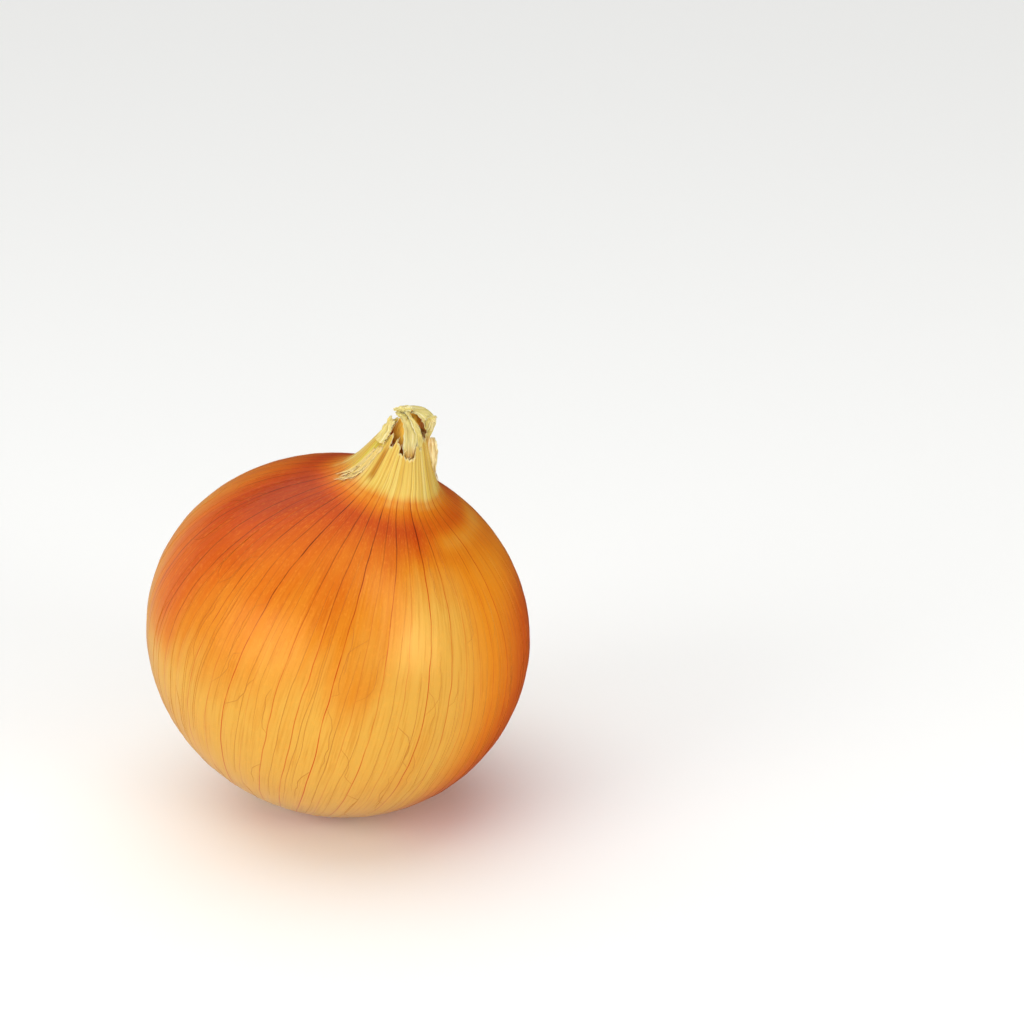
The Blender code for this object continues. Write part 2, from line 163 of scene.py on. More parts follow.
LEFT_FLAP = (
    ((25, 5.8, 44.9), (18, 5.1, 46.3), (12, 4.4, 47.8), (6, 4.0, 48.9), (10, 3.7, 49.9)),
    ((41, 6.0, 44.9), (40, 5.3, 46.2), (37, 4.7, 47.9), (32, 4.3, 49.1), (30, 3.9, 50.2)),
    ((52, 5.6, 45.1), (53, 5.0, 46.5), (52, 4.4, 47.8), (49, 4.1, 48.9), (50, 3.8, 50.0)),
)
TOP_CURL = (
    ((98, 2.6, 53.5), (82, 2.6, 53.7), (64, 3.0, 53.5), (45, 3.5, 52.9), (22, 3.8, 51.9)),
    ((91, 3.4, 53.3), (80, 3.6, 53.3), (69, 3.8, 53.0), (55, 4.2, 52.7), (38, 4.3, 52.0)),
    ((88, 3.7, 52.8), (80, 3.9, 52.7), (71, 4.0, 52.5), (60, 4.2, 52.3), (48, 4.2, 51.8)),
)
LOWER_CURL = (
    ((84, 4.1, 52.5), (76, 4.2, 52.6), (67, 4.35, 52.5), (57, 4.4, 52.2), (48, 4.3, 51.8)),
    ((86, 4.3, 51.8), (78, 4.4, 51.9), (69, 4.5, 52.0), (60, 4.55, 51.9), (52, 4.4, 51.7)),
    ((88, 4.2, 51.1), (79, 4.2, 51.4), (69, 4.25, 51.6), (61, 4.3, 51.7), (55, 4.3, 51.7)),
)
LOOSE_SHRED = (
    ((182, 7.4, 40.6), (182, 6.1, 43.0), (183, 5.0, 45.0), (183, 4.5, 46.6), (183, 4.5, 47.4)),
    ((184, 7.8, 40.6), (184, 7.0, 43.2), (185, 6.5, 45.2), (185, 5.8, 46.9), (184, 5.3, 47.7)),
    ((182, 8.0, 40.8), (182, 7.4, 43.4), (182, 7.1, 45.4), (183, 6.2, 47.0), (183, 5.7, 47.8)),
)
# Slivers of skin that peel off the flare of the neck: longitude and angle from the top of their free
# ends and then of their roots, half width and lift in mm
SLIVERS = (
    (35.0, 16.6, 46.0, 8.2, 0.42, 0.12),
    (41.5, 15.4, 51.0, 8.0, 0.34, 0.20),
    (29.5, 15.2, 38.0, 8.8, 0.34, 0.15),
    (33.0, 17.6, 41.0, 12.0, 0.22, 0.25),
    (38.0, 17.0, 45.0, 11.0, 0.18, 0.38),
    (44.0, 15.0, 50.0, 10.0, 0.16, 0.34),
    (26.0, 16.4, 34.0, 10.4, 0.22, 0.18),
    (202.0, 14.0, 198.0, 8.6, 0.30, 0.12),
    (262.0, 14.5, 268.0, 8.4, 0.30, 0.20),
    (318.0, 15.0, 311.0, 9.0, 0.28, 0.20),
    (32.0, 16.0, 41.5, 9.2, 0.20, 0.30),
    (38.5, 15.2, 48.5, 9.0, 0.24, 0.36),
)
SLIVER_THICKNESS, SLIVER_ROWS, SLIVER_COLUMNS = 0.08, 40, 9

# The leaf ends, as name, rails, how many rows and columns, and what sets each apart
LEAF_ENDS = (
    ("neck_hood", HOOD, 110, 64, {"ridges": 13, "ragged": 0.16, "lining": 1, "foot": 4.5}),
    ("neck_hood_lip", HOOD_LIP, 60, 24, {"ridges": 2, "fray": 0.25, "buckle": 0.04}),
    ("neck_middle_leaf", MIDDLE_LEAF, 110, 36, {"ridges": 6, "fray": 0.4, "curl": 0.12, "foot": 6.0}),
    ("neck_fold_band", FOLD_BAND, 90, 20, {"ridges": 3, "fray": 0.3, "ragged": 0.08, "foot": 3.0}),
    ("neck_left_flap", LEFT_FLAP, 80, 30, {"ridges": 4, "ragged": 0.14, "pale": 0.12}),
    ("neck_top_curl", TOP_CURL, 60, 30, {
        "ridges": 4, "ridge": 0.11, "fray": 0.6, "ragged": 0.18, "curl": 0.12}),
    ("neck_lower_curl", LOWER_CURL, 60, 26, {"ridges": 4, "ridge": 0.10, "ragged": 0.16, "buckle": 0.05}),
    ("neck_loose_shred", LOOSE_SHRED, 70, 20, {"ridges": 2, "fray": 0.3, "pale": 1.0}),
)

# The inner skin rolled up in the neck
ROLL_TOP, ROLL_RADIUS, ROLL_ROWS, ROLL_COLUMNS = 51.7, 3.05, 60, 120
# Heights over which painted shade darkens the inner skin from amber to umber, deeper in the neck
ROLL_SHADE_FROM, ROLL_SHADE_TO = 44.4, 47.0
# Its folds and the fine ridges on them: how many, and how deep as a share of its radius
ROLL_FOLDS, FOLD_DEPTH, ROLL_RIDGES, RIDGE_DEPTH = 6.0, 0.07, 23.0, 0.018

RIM_FIBRES, FIBRE_LENGTHS, FIBRE_RADIUS = 44, (0.9, 1.9), 0.085
DISC_RINGS, DISC_COLUMNS = 14, 96
# Pits of the root plate: how wide and how deep in mm
PITS = ((0.7, 0.16), (1.8, 0.18))
ROOTLET_LENGTH, ROOTLET_SPIRAL = 2.6, 137.5

# The camera's place, in metres, and its tilt up from straight down follow from the outline in the photo
CAMERA_PLACE, CAMERA_TILT, SENSOR_WIDTH = (0.03406, -0.44031, 0.22352), 70.0, 36.0
LIT_PLACE = (0.0, 0.0, 0.04)
# Area lights: name, setting of its power, place and size in metres, whether it lights more than gloss
AREA_LIGHTS = (
    ("left_softbox", "left_power", (-0.68, -0.50, 0.36), (0.5, 0.5), True),
    ("right_softbox", "right_power", (0.66, -0.57, 0.27), (0.36, 0.44), True),
    ("left_sheen", "left_sheen", (-0.42, -0.76, 0.42), (0.36, 0.55), False),
    ("right_sheen", "right_sheen", (0.66, -0.53, 0.68), (0.26, 1.1), False),
)
SUN_FROM, SUN_SPREAD = (-0.1, 0.25, 1.0), 75.0
# Daylight: towards its dim side, where along that it is brightest and dimmest, and its strength at each.
# It lights the skin from the front left, and the skin mirrors a dim room with a bright wall at the left
ROOM_LIGHT = (
    ((0.62, 0.78, 0.0), -0.7, 0.8, 1.35, 0.35),
    ((0.9, 0.3, 0.5), -0.5, 0.25, 0.9, 0.08),
)
SURFACE_REACH = 8.0


def linear(code):
    """The linear colour of an sRGB hex code."""
    parts = [int(code[place : place + 2], 16) / 255.0 for place in (1, 3, 5)]
    return tuple(part / 12.92 if part <= 0.04045 else ((part + 0.055) / 1.055) ** 2.4 for part in parts)


def colour_property(name, code, description):
    """A colour that a user can change."""
    return FloatVectorProperty(
        name=name, description=description, subtype="COLOR", size=3, min=0.0, max=1.0, default=linear(code)
    )


def length_property(name, default, least, most, description):
    """A length that a user can change, given here in mm."""
    return FloatProperty(
        name=name, description=description, default=default * MM, min=least * MM, max=most * MM,
        subtype="DISTANCE", unit="LENGTH", precision=5,
    )


def light_property(name, default, description, unit="POWER"):
    """The power or strength of a light that a user can change."""
    return FloatProperty(name=name, description=description, default=default, min=0.0, unit=unit)


class OnionSkinSettings(bpy.types.PropertyGroup):
    """Relief and colours of the outer skin"""

    vein_relief: length_property("Vein relief", 0.06, 0.0, 0.3, "How far a strong vein stands out")
    body_flute: length_property("Body flutes", 0.10, 0.0, 0.4, "How far the body swells between veins")
    neck_pleat: length_property("Neck pleats", 0.12, 0.0, 0.5, "How far the neck swells between veins")
    rim_fray: length_property("Rim fray", 0.55, 0.0, 1.0, "How ragged the torn rim is")
    straw: colour_property("Straw", "#DABE5C", "Dry skin of the neck")
    green_straw: colour_property("Green straw", "#CDBE3C", "Side of the neck that still holds some green")
    russet: colour_property("Russet", "#AC3200", "Darkest skin, on the shoulder")
    red_orange: colour_property("Red orange", "#C04400", "Skin of the shoulder")
    orange: colour_property("Orange", "#D0640A", "Skin above the middle")
    amber: colour_property("Amber", "#D88018", "Skin of the middle")
    gold: colour_property("Gold", "#DEA644", "Skin of the lower half")
    # Partly the skin's own deeper orange and partly painted orange light reflected from beside the onion
    vivid_orange: colour_property("Vivid orange", "#E68606", "Skin of the right-hand side")
    # Painted shade with orange reflected light, at the right-hand edge
    flank: colour_property("Flank", "#D45800", "Skin of the right-hand edge")
    dark_vein: colour_property("Dark vein", "#5B2610", "What a vein multiplies the shoulder's colour with")
    red_vein: colour_property("Red vein", "#E25B35", "What a vein multiplies the lower half's colour with")


class OnionNeckSettings(bpy.types.PropertyGroup):
    """Leaf ends and inner skin at the neck"""

    leaf_thickness: length_property("Leaf thickness", 0.3, 0.1, 0.7, "Thickness of the dried leaf ends")
    leaf: colour_property("Leaf", "#DCCB7C", "Dried leaf ends")
    leaf_vein: colour_property("Leaf vein", "#A8924A", "Fibres of the dried leaf ends")
    # The inner skin's amber, and its umber, a painted shade deep in the neck
    amber: colour_property("Amber", "#FFC850", "Inner skin, where the light reaches it")
    umber: colour_property("Umber", "#E08C2C", "Inner skin, deep in the neck")


class OnionRootSettings(bpy.types.PropertyGroup):
    """Root plate and rootlets"""

    rootlets: IntProperty(
        name="Rootlets", description="How many dried rootlets there are", default=74, min=8, max=160
    )
    rootlet_radius: length_property("Rootlet radius", 0.24, 0.1, 0.5, "Radius of a rootlet at the plate")
    plate: colour_property("Root plate", "#6B4226", "Corky root plate")
    rootlet: colour_property("Rootlets", "#8A5A36", "Dried rootlets")


class OnionStudioSettings(bpy.types.PropertyGroup):
    """Surface, light and camera"""

    surface: colour_property("Surface", "#FAFAF8", "Surface that the onion rests on")
    daylight: light_property("Daylight", 0.58, "Strength of the light from all round", "NONE")
    overhead: light_property("Overhead", 1.35, "Strength of the wide light overhead", "NONE")
    left_power: light_property("Left softbox", 2.7, "Power of the softbox at the left")
    right_power: light_property("Right softbox", 2.6, "Power of the softbox at the right")
    left_sheen: light_property("Left sheen", 3.4, "Power of the left softbox's reflection alone")
    right_sheen: light_property("Right sheen", 6.4, "Power of the right strip's reflection alone")
    focal_length: FloatProperty(
        name="Focal length", description="Focal length of the camera, in mm", default=80.86, min=20.0
    )


class OnionSettings(bpy.types.PropertyGroup):
    """All that a user can change"""

    skin: PointerProperty(type=OnionSkinSettings)
    neck: PointerProperty(type=OnionNeckSettings)
    root: PointerProperty(type=OnionRootSettings)
    studio: PointerProperty(type=OnionStudioSettings)


def smooth_step(value, low, high):
    """Share from 0 at low to 1 at high, with a smooth start and end."""
    share = np.clip((np.asarray(value, float) - low) / (high - low), 0.0, 1.0)
    return share * share * (3.0 - 2.0 * share)


def within(value, low, full, fading, high):
    """Share that rises from 0 at low to 1 at full, and falls again from 1 at fading to 0 at high."""
    return smooth_step(value, low, full) * (1.0 - smooth_step(value, fading, high))


def hump(value, middle, width):
    """Share that is 1 at the middle and falls off smoothly over this width on both sides."""
    return np.exp(-(((value - middle) / width) ** 2))


def turned_from(longitude, middle):
    """Degrees from this middle to the longitude, from -180 to 180."""
    return (longitude - middle + 180.0) % 360.0 - 180.0


def around(longitude, radius, height):
    """Points at these longitudes in degrees, radii and heights, in the onion's own frame, in mm."""
    angle = np.radians(longitude)
    longitude, radius, height = np.broadcast_arrays(longitude, radius, height)
    return np.stack([radius * np.cos(angle), radius * np.sin(angle), height], -1)


NECK_OFFSET = around(NECK_SHIFT_TOWARDS, NECK_SHIFT, 0.0)


def top_height(radius):
    """Height of the skin at this radius: a steep cone that flares into a flat dome."""
    cone = RIM_HEIGHT - (radius - RIM_RADIUS) / NECK_SLOPE
    dome = SHOULDER_HEIGHT * np.sqrt(1.0 - np.minimum(radius / EQUATOR_RADIUS, 1.0) ** 2)
    return 0.5 * (cone + dome + np.hypot(cone - dome, NECK_BLEND))


TRIAL_RADII = np.linspace(0.0, EQUATOR_RADIUS, 8001)
TRIAL_HEIGHTS = top_height(TRIAL_RADII)


def neck_radius(height):
    """Outer radius of the neck at this height."""
    return np.interp(-np.asarray(height, float), -TRIAL_HEIGHTS, TRIAL_RADII)


def dimple(radius):
    """How far the root end is pressed in at this radius."""
    return DIMPLE_DEPTH * (1.0 - smooth_step(radius, 0.0, DIMPLE_RADIUS))


def rim_height(longitude):
    """Height of the torn rim, without its fray."""
    height = np.full(np.shape(longitude), RIM_HEIGHT)
    for middle, half_width, rise in RIM_TEARS:
        height += rise / (1.0 + (turned_from(longitude, middle) / half_width) ** 10)
    return height


def swollen(longitude, radius, height):
    """The even, turned bulb's points, moved to their places on the real, lopsided one."""
    girth = (radius / EQUATOR_RADIUS) ** 2
    lopsided = LOPSIDED_SHARE * np.cos(np.radians(longitude - LOPSIDED_LONGITUDE))
    oval = OVAL_SHARE * np.cos(np.radians(2.0 * (longitude - OVAL_LONGITUDE)))
    swell = 1.0 + girth * (lopsided + oval)
    shift = NECK_SHIFT * smooth_step(height, NECK_SHIFT_FROM, NECK_SHIFT_TO)
    return around(longitude, radius * swell, height * swell) + around(NECK_SHIFT_TOWARDS, shift, 0.0)


LYING = Euler((0.0, math.radians(LEAN), math.radians(LEAN_TOWARDS))).to_matrix()
LYING = np.array(LYING @ Matrix.Rotation(math.radians(TURN), 3, "Z"))


def lying(points):
    """The onion's own points, in mm, leaned over into their resting place, in metres."""
    return (points @ LYING.T + np.array(BULB_MIDDLE)) * MM


def rest_on_floor(points):
    """Presses flat what would reach below the surface that the onion rests on."""
    up = LYING[2]
    low = -np.minimum(points @ up + BULB_MIDDLE[2], 0.0)
    return points + low[:, None] * up


def wander(draw, places, step, reach):
    """A smooth random line: a value of up to the reach at each place, changing over each step."""
    knots = int(np.ptp(places) / step) + 4
    values = draw.uniform(-reach, reach, knots)
    at = (places - np.min(places)) / step + 1.0
    first = np.floor(at).astype(int)
    share = at - first
    a, b, c, d = (values[np.clip(first + move, 0, knots - 1)] for move in (-1, 0, 1, 2))
    bend = 3 * (b - c) + d - a
    return b + 0.5 * share * (c - a + share * (2 * a - 5 * b + 4 * c - d + share * bend))


def stray(draw, along, step, reach):
    """A thread's random bends to all sides, which grow along it."""
    return np.stack([wander(draw, along, step, reach) for _ in range(3)], -1) * along[:, None]


def vein_marks():
    """Longitudes of all the veins round the onion, and how strongly each is marked."""
    draw = np.random.default_rng(VEIN_SEED)
    first, last = FRONT_VEINS[0][0], FRONT_VEINS[-1][0]
    steps = draw.uniform(0.75, 1.25, OTHER_VEINS + 1)
    places = last + np.cumsum(steps)[:-1] / steps.sum() * (360.0 + first - last)
    faint = draw.random(OTHER_VEINS) < 0.4
    strengths = np.where(faint, draw.uniform(0.25, 0.5, OTHER_VEINS), draw.uniform(0.6, 1.0, OTHER_VEINS))
    return np.vstack([FRONT_VEINS, np.stack([places, strengths], -1)]).T


def skin_rows():
    """The rows of the skin as (height, polar angle, side): recess, neck, body and root end."""
    first_angle = math.degrees(math.asin(float(neck_radius(NECK_END_HEIGHT)) / EQUATOR_RADIUS))
    shares = np.linspace(0.0, 1.0, BODY_ROWS)[1:] ** ROW_CROWDING
    body = first_angle + (BODY_END_ANGLE - first_angle) * shares
    into_dimple = np.linspace(BODY_END_ANGLE, DIMPLE_END_ANGLE, DIMPLE_ROWS + 1)[1:]
    return (
        [(height, 0.0, -1) for height in np.linspace(RECESS_FLOOR, RIM_HEIGHT, RECESS_ROWS)]
        + [(height, 0.0, 1) for height in np.linspace(RIM_HEIGHT, NECK_END_HEIGHT, NECK_ROWS)]
        + [(0.0, angle, 0) for angle in (*body, *into_dimple)]
    )


def body_place(angle):
    """Radius and height of the even bulb at this angle from its top, in degrees."""
    radius = EQUATOR_RADIUS * np.sin(np.radians(angle))
    below = ROOT_DEPTH * np.cos(np.radians(angle)) + dimple(radius)
    return radius, np.where(angle > 90.0, below, top_height(radius))


def mesh_object(name, points, faces, attributes):
    """A smooth mesh object of these points, in the onion's frame, with named values at its points."""
    mesh = bpy.data.meshes.new(name)
    mesh.from_pydata(lying(np.asarray(points, float)).tolist(), [], faces)
    for label, values in attributes.items():
        values = np.asarray(values, np.float32)
        if values.ndim == 2:
            made = mesh.attributes.new(label, "FLOAT_VECTOR", "POINT")
            made.data.foreach_set("vector", values.ravel())
        else:
            made = mesh.attributes.new(label, "FLOAT", "POINT")
            made.data.foreach_set("value", values)
    mesh.validate()
    mesh.shade_smooth()
    mesh.update()
    obj = bpy.data.objects.new(name, mesh)
    bpy.context.scene.collection.objects.link(obj)
    return obj


def finish_piece(obj, material, node=None):
    """Gives a piece its material and body, and hides the part of the node that it stands for."""
    obj.data.materials.append(material)
    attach(obj, "root")
    if node:
        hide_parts(node)


def ring_faces(rows, columns):
    """Faces of a grid of rows, closed round its columns, and of its two end points."""
    here = np.arange(rows * columns).reshape(rows, columns)
    beside = np.roll(here, -1, 1)
    walls = np.stack([here[:-1], beside[:-1], beside[1:], here[1:]], -1).reshape(-1, 4)
    first = np.full(columns, here.size)
    caps = np.stack([first, beside[0], here[0], first + 1, here[-1], beside[-1]], -1).reshape(-1, 3)
    return walls.tolist() + caps.tolist()


def sheet_faces(rows, columns):
    """Faces of a thin closed sheet: both sides of a grid, and its border."""
    here = np.arange(rows * columns).reshape(rows, columns)
    front = np.stack([here[:-1, :-1], here[:-1, 1:], here[1:, 1:], here[1:, :-1]], -1).reshape(-1, 4)
    back = front[:, ::-1] + here.size
    edge = np.concatenate([here[0], here[1:, -1], here[-1, -2::-1], here[-2:0:-1, 0]])
    beside = np.roll(edge, -1)
    border = np.stack([beside, edge, edge + here.size, beside + here.size], -1)
    return np.stack([front, back], 1).reshape(-1, 4).tolist() + border.tolist()


def tube(path, radii, sides, points, faces):
    """Adds a closed tube along the path to these points and faces."""
    first = sum(len(block) for block in points)
    along = np.gradient(path, axis=0)
    along /= np.linalg.norm(along, axis=1, keepdims=True)
    side = np.cross(along, (0.31, 0.55, 0.77))
    side /= np.linalg.norm(side, axis=1, keepdims=True)
    other = np.cross(along, side)
    turn = np.linspace(0.0, 2.0 * np.pi, sides, endpoint=False)
    ring = np.cos(turn)[None, :, None] * side[:, None] + np.sin(turn)[None, :, None] * other[:, None]
    body = (path[:, None] + ring * radii[:, None, None]).reshape(-1, 3)
    ends = path[:1] - along[:1] * radii[0] * 0.3, path[-1:] + along[-1:] * radii[-1] * 0.7
    points.append(np.vstack([body, *ends]))
    faces.extend([first + corner for corner in face] for face in ring_faces(len(path), sides))


def fold_noise(points, size, seed):
    """Smooth noise from -1 to 1 at these points, over features of this size in mm."""
    shift = Vector((seed * 17.3, seed * 5.1, seed * 9.7))
    return np.array([noise.noise(Vector(point) / size + shift) for point in points])


def skin_tones(longitude, angle, grain):
    """Shares of each tone over the skin, from 0 to 1, by longitude and by angle from the top."""
    streak = fold_noise(grain * np.array([1.0, 1.0, 0.12]), 2.6, 1)
    patch = fold_noise(grain * np.array([1.0, 1.0, 0.5]), 17.0, 2)
    turn = longitude % 360.0

    # Straw at the neck and again round the root, with some green, peel and painted shade in a crease at the
    # left
    away = turned_from(longitude, NECK_LEFT)
    left = hump(away, 0.0, 38.0)
    edge = STRAW_END - 0.7 * left + 0.9 * streak + 0.7 * patch
    straw = 1.0 - smooth_step(angle, edge - 1.7 - 2.0 * left, edge + 1.8 + 2.1 * left)
    root = smooth_step(angle, ROOT_STRAW_FROM + 1.5 * streak, ROOT_STRAW_TO + 1.5 * streak)
    straw = np.maximum(straw, root)
    green = hump(away, 12.0, 13.0) * (1.0 - smooth_step(angle, 10.0, 17.0))
    peel = hump(away, 19.0, 9.0) * within(angle, 8.0, 10.0, 14.5, 17.0)
    warm = hump(away, 41.5, 4.5) * within(angle, 5.5, 8.0, 11.5, 14.0)

    # The skin is cured darkest on the shoulder, and furthest down at the left. Each step of the ripening
    # is the share that it adds and the angle where it ends
    bright_side = within(turn, 101.0, 119.0, 175.0, 215.0)
    dark, late = turned_from(longitude, DARKEST), turned_from(longitude, LATEST)
    ripening = (
        (0.25, 25.0 + 25.0 * hump(dark, 0.0, 22.0)),
        (0.25, 32.0 + 50.0 * hump(dark, 0.0, 22.0) + 10.0 * hump(late, 0.0, 14.0)),
        (0.20, 50.0 + 41.0 * hump(dark, 0.0, 24.0) + 20.0 * hump(late, 0.0, 18.0) - 14.0 * bright_side),
        (0.30, 98.0 - 47.0 * bright_side),
    )
    ripeness, start = 0.0, ripening[0][1] - 14.0
    for share, end in ripening:
        ripeness = ripeness + share * np.clip((angle - start) / np.maximum(end - start, 4.0), 0.0, 1.0)
        start = end
    ripeness = ripeness + 0.45 * within(turn, 123.0, 146.0, 200.0, 240.0) * hump(angle, 27.0, 5.0)
    for middle, depth, reach, height in ((86.0, 54.0, 9.0, 14.0), (99.0, 76.0, 8.0, 9.0)):
        ripeness = ripeness - 0.15 * hump(turn, middle, reach) * hump(angle, depth, height)
    ripeness = ripeness + 0.05 * patch + 0.6 * (1.0 - smooth_step(angle, 15.0, 24.5 + 1.5 * patch))
    ripeness = ripeness - 0.28 * hump(angle, 157.0, 7.0)

    # The right-hand side is a deeper orange, partly its own colour and partly painted orange light
    # reflected from beside it; its edge is painted shade with orange reflected light
    vivid = within(turn, 129.0, 150.0, 210.0, 260.0) * smooth_step(angle, 26.0, 48.0)
    flank = smooth_step(turn + 0.35 * (angle - 60.0), 146.0, 178.0)
    flank = flank * (1.0 - smooth_step(turn, 200.0, 235.0)) * within(angle, 38.0, 62.0, 120.0, 150.0)
    return {
        "straw": straw, "green": green, "peel": peel, "warm": warm,
        "ripeness": ripeness, "vivid": vivid, "flank": flank,
    }


def skin_surface(settings):
    """The outer skin's points in rows and columns, its tones, and its rows' angles from the top."""
    draw = np.random.default_rng(SKIN_SEED)
    veins, strengths = vein_marks()
    heights, angles, sides = (np.array(values) for values in zip(*skin_rows()))
    body_radii, body_heights = body_place(angles)
    radii = np.where(sides == 0, body_radii, neck_radius(heights))
    heights = np.where(sides == 0, body_heights, heights)
    along = np.concatenate([[0.0], np.cumsum(np.hypot(np.diff(radii), np.diff(heights)))])

    # The columns run along the veins, several from each vein to the next
    tracks = np.array([sum((wander(draw, along, *sway) for sway in VEIN_SWAYS), vein) for vein in veins])
    gaps = np.vstack([tracks[1:], tracks[:1] + 360.0]) - tracks
    places = np.array(COLUMN_PLACES)
    longitude = (tracks[:, None] + gaps[:, None] * places[None, :, None]).reshape(-1, len(along)).T
    shape = longitude.shape

    def in_columns(values):
        return np.repeat(values, len(places))[None, :]

    def in_rows(values):
        return np.broadcast_to(values[:, None], shape)

    gap = np.repeat(gaps, len(places), 0).T
    share = np.broadcast_to(np.tile(places, len(veins)), shape)
    puffs = in_columns(draw.uniform(*PUFF_SHARES, len(veins)))
    strips = in_columns(draw.uniform(-1.0, 1.0, len(veins)))
    marks = np.where(share < 0.5, in_columns(strengths), in_columns(np.roll(strengths, -1)))

    # The neck's rows end at the torn rim, and the recess inside it has a wall of the skin's thickness
    height, side = in_rows(heights), in_rows(sides)
    at_rim = longitude[RECESS_ROWS] % 360.0
    knots = np.sort(draw.uniform(0.0, 360.0, FRAY_KNOTS))
    fray = np.interp(at_rim, knots, draw.uniform(-1.0, 0.6, FRAY_KNOTS), period=360.0)
    rim = rim_height(at_rim) + fray * settings.rim_fray / MM
    reach = (rim - TEAR_FOOT_HEIGHT) / (RIM_HEIGHT - TEAR_FOOT_HEIGHT)
    torn = TEAR_FOOT_HEIGHT + (height - TEAR_FOOT_HEIGHT) * reach
    height = np.where((side != 0) & (height > TEAR_FOOT_HEIGHT), torn, height)
    below_rim = rim - height
    outer = neck_radius(height)
    radius = np.where(side == 1, outer, in_rows(radii))
    wall = RIM_WALL + WALL_GAIN * smooth_step(below_rim, 0.0, WALL_DEPTH)
    radius = np.where(side == -1, np.minimum(outer - wall, RECESS_RADIUS), radius)

    # Between its veins the skin swells out, and each vein stands up in a narrow ridge
    distance = np.minimum(share, 1.0 - share) * np.radians(gap) * radius
    on_neck = smooth_step(height, NECK_RELIEF_FROM, NECK_RELIEF_TO)
    relief = settings.body_flute / MM + (settings.neck_pleat - settings.body_flute) / MM * on_neck
    puff = (1.0 - np.abs(2.0 * share - 1.0) ** 2.2 - 0.5) * puffs * relief
    vein = settings.vein_relief / MM * marks * hump(distance, 0.0, VEIN_WIDTH) * (1.0 - on_neck)
    fading = np.where(height < 0.0, smooth_step(radius, 2.0, DIMPLE_RADIUS), 1.0)
    radius = radius + np.where(side == -1, 0.5 * puff, (puff + vein) * fading)
    points = rest_on_floor(swollen(longitude, radius, height).reshape(-1, 3))

    polar = np.where(side == 0, in_rows(angles), np.degrees(np.arctan2(radius, height)))
    grain = around(longitude, EQUATOR_RADIUS, in_rows(along)).reshape(-1, 3)
    tones = skin_tones(longitude.ravel(), polar.ravel(), grain)
    tones["grain"] = grain
    # The recess's inner wall is marked for a bright amber, a painted glow of light in the neck's shade
    for name, values in (
        ("vein_distance", distance),
        ("vein_mark", marks),
        ("strip", np.broadcast_to(strips, shape)),
        ("torn_edge", np.where(side != 0, 1.0 - smooth_step(below_rim, 0.05, 0.45), 0.0)),
        ("inside", np.where(side == -1, smooth_step(below_rim, 0.4, 2.4), 0.0)),
    ):
        tones[name] = values.ravel()
    return points.reshape(*shape, 3), tones, angles


def make_outer_skin(settings):
    """The dry outer skin: one closed mesh from the neck's recess to the dimple of the root end."""
    points, tones, _ = skin_surface(settings)
    faces = ring_faces(*points.shape[:2])
    ends = np.array([[0.0, 0.0, RECESS_FLOOR], [0.0, 0.0, -ROOT_DEPTH + DIMPLE_DEPTH]])
    ends[0] += NECK_OFFSET
    attributes = {name: np.concatenate([values, values[:1], values[-1:]]) for name, values in tones.items()}
    return mesh_object("outer_skin", np.vstack([points.reshape(-1, 3), ends]), faces, attributes)


def vein_paths(gaps):
    """Paths of the fine veins, as (gap, shares across it, angles from the top, radius in mm)."""
    draw = np.random.default_rng(FINE_VEIN_SEED)
    for gap in range(gaps):
        # Long veins run down between the main ones
        for _ in range(draw.integers(1, 3)):
            first, last = draw.uniform(*LONG_VEIN_STARTS), draw.uniform(*LONG_VEIN_ENDS)
            angles = np.arange(first, last, 1.6)
            share = draw.uniform(0.28, 0.72) + wander(draw, angles, 24.0, 0.09)
            share = share + wander(draw, angles, 8.0, 0.02)
            yield gap, share, angles, draw.uniform(*LONG_VEIN_RADII)
        # Side veins leave a main vein, run beside it with sharp bends, and join the same or the next one
        for _ in range(draw.poisson(SIDE_VEINS_PER_GAP)):
            reach = draw.uniform(0.2, 0.75)
            bends = [reach + draw.uniform(-0.07, 0.07) for _ in range(draw.integers(2, 6))]
            end = 1.0 if reach > 0.45 and draw.random() < 0.6 else reach + draw.uniform(-0.1, 0.1)
            shares = [0.0, 0.7 * reach, reach, *bends, end]
            steps = np.cumsum(np.concatenate([[0.0], draw.uniform(1.0, 3.6, len(shares) - 1)]))
            down = np.linspace(0.0, steps[-1], 5 * len(steps))
            share = np.clip(np.interp(down, steps, shares) + wander(draw, down, 1.2, 0.012), 0.0, 1.0)
            angles = draw.uniform(*SIDE_VEIN_STARTS) + down * draw.choice([-1.0, 1.0])
            share = share if draw.random() < 0.5 else 1.0 - share
            yield gap, share, angles, draw.uniform(*SIDE_VEIN_RADII)


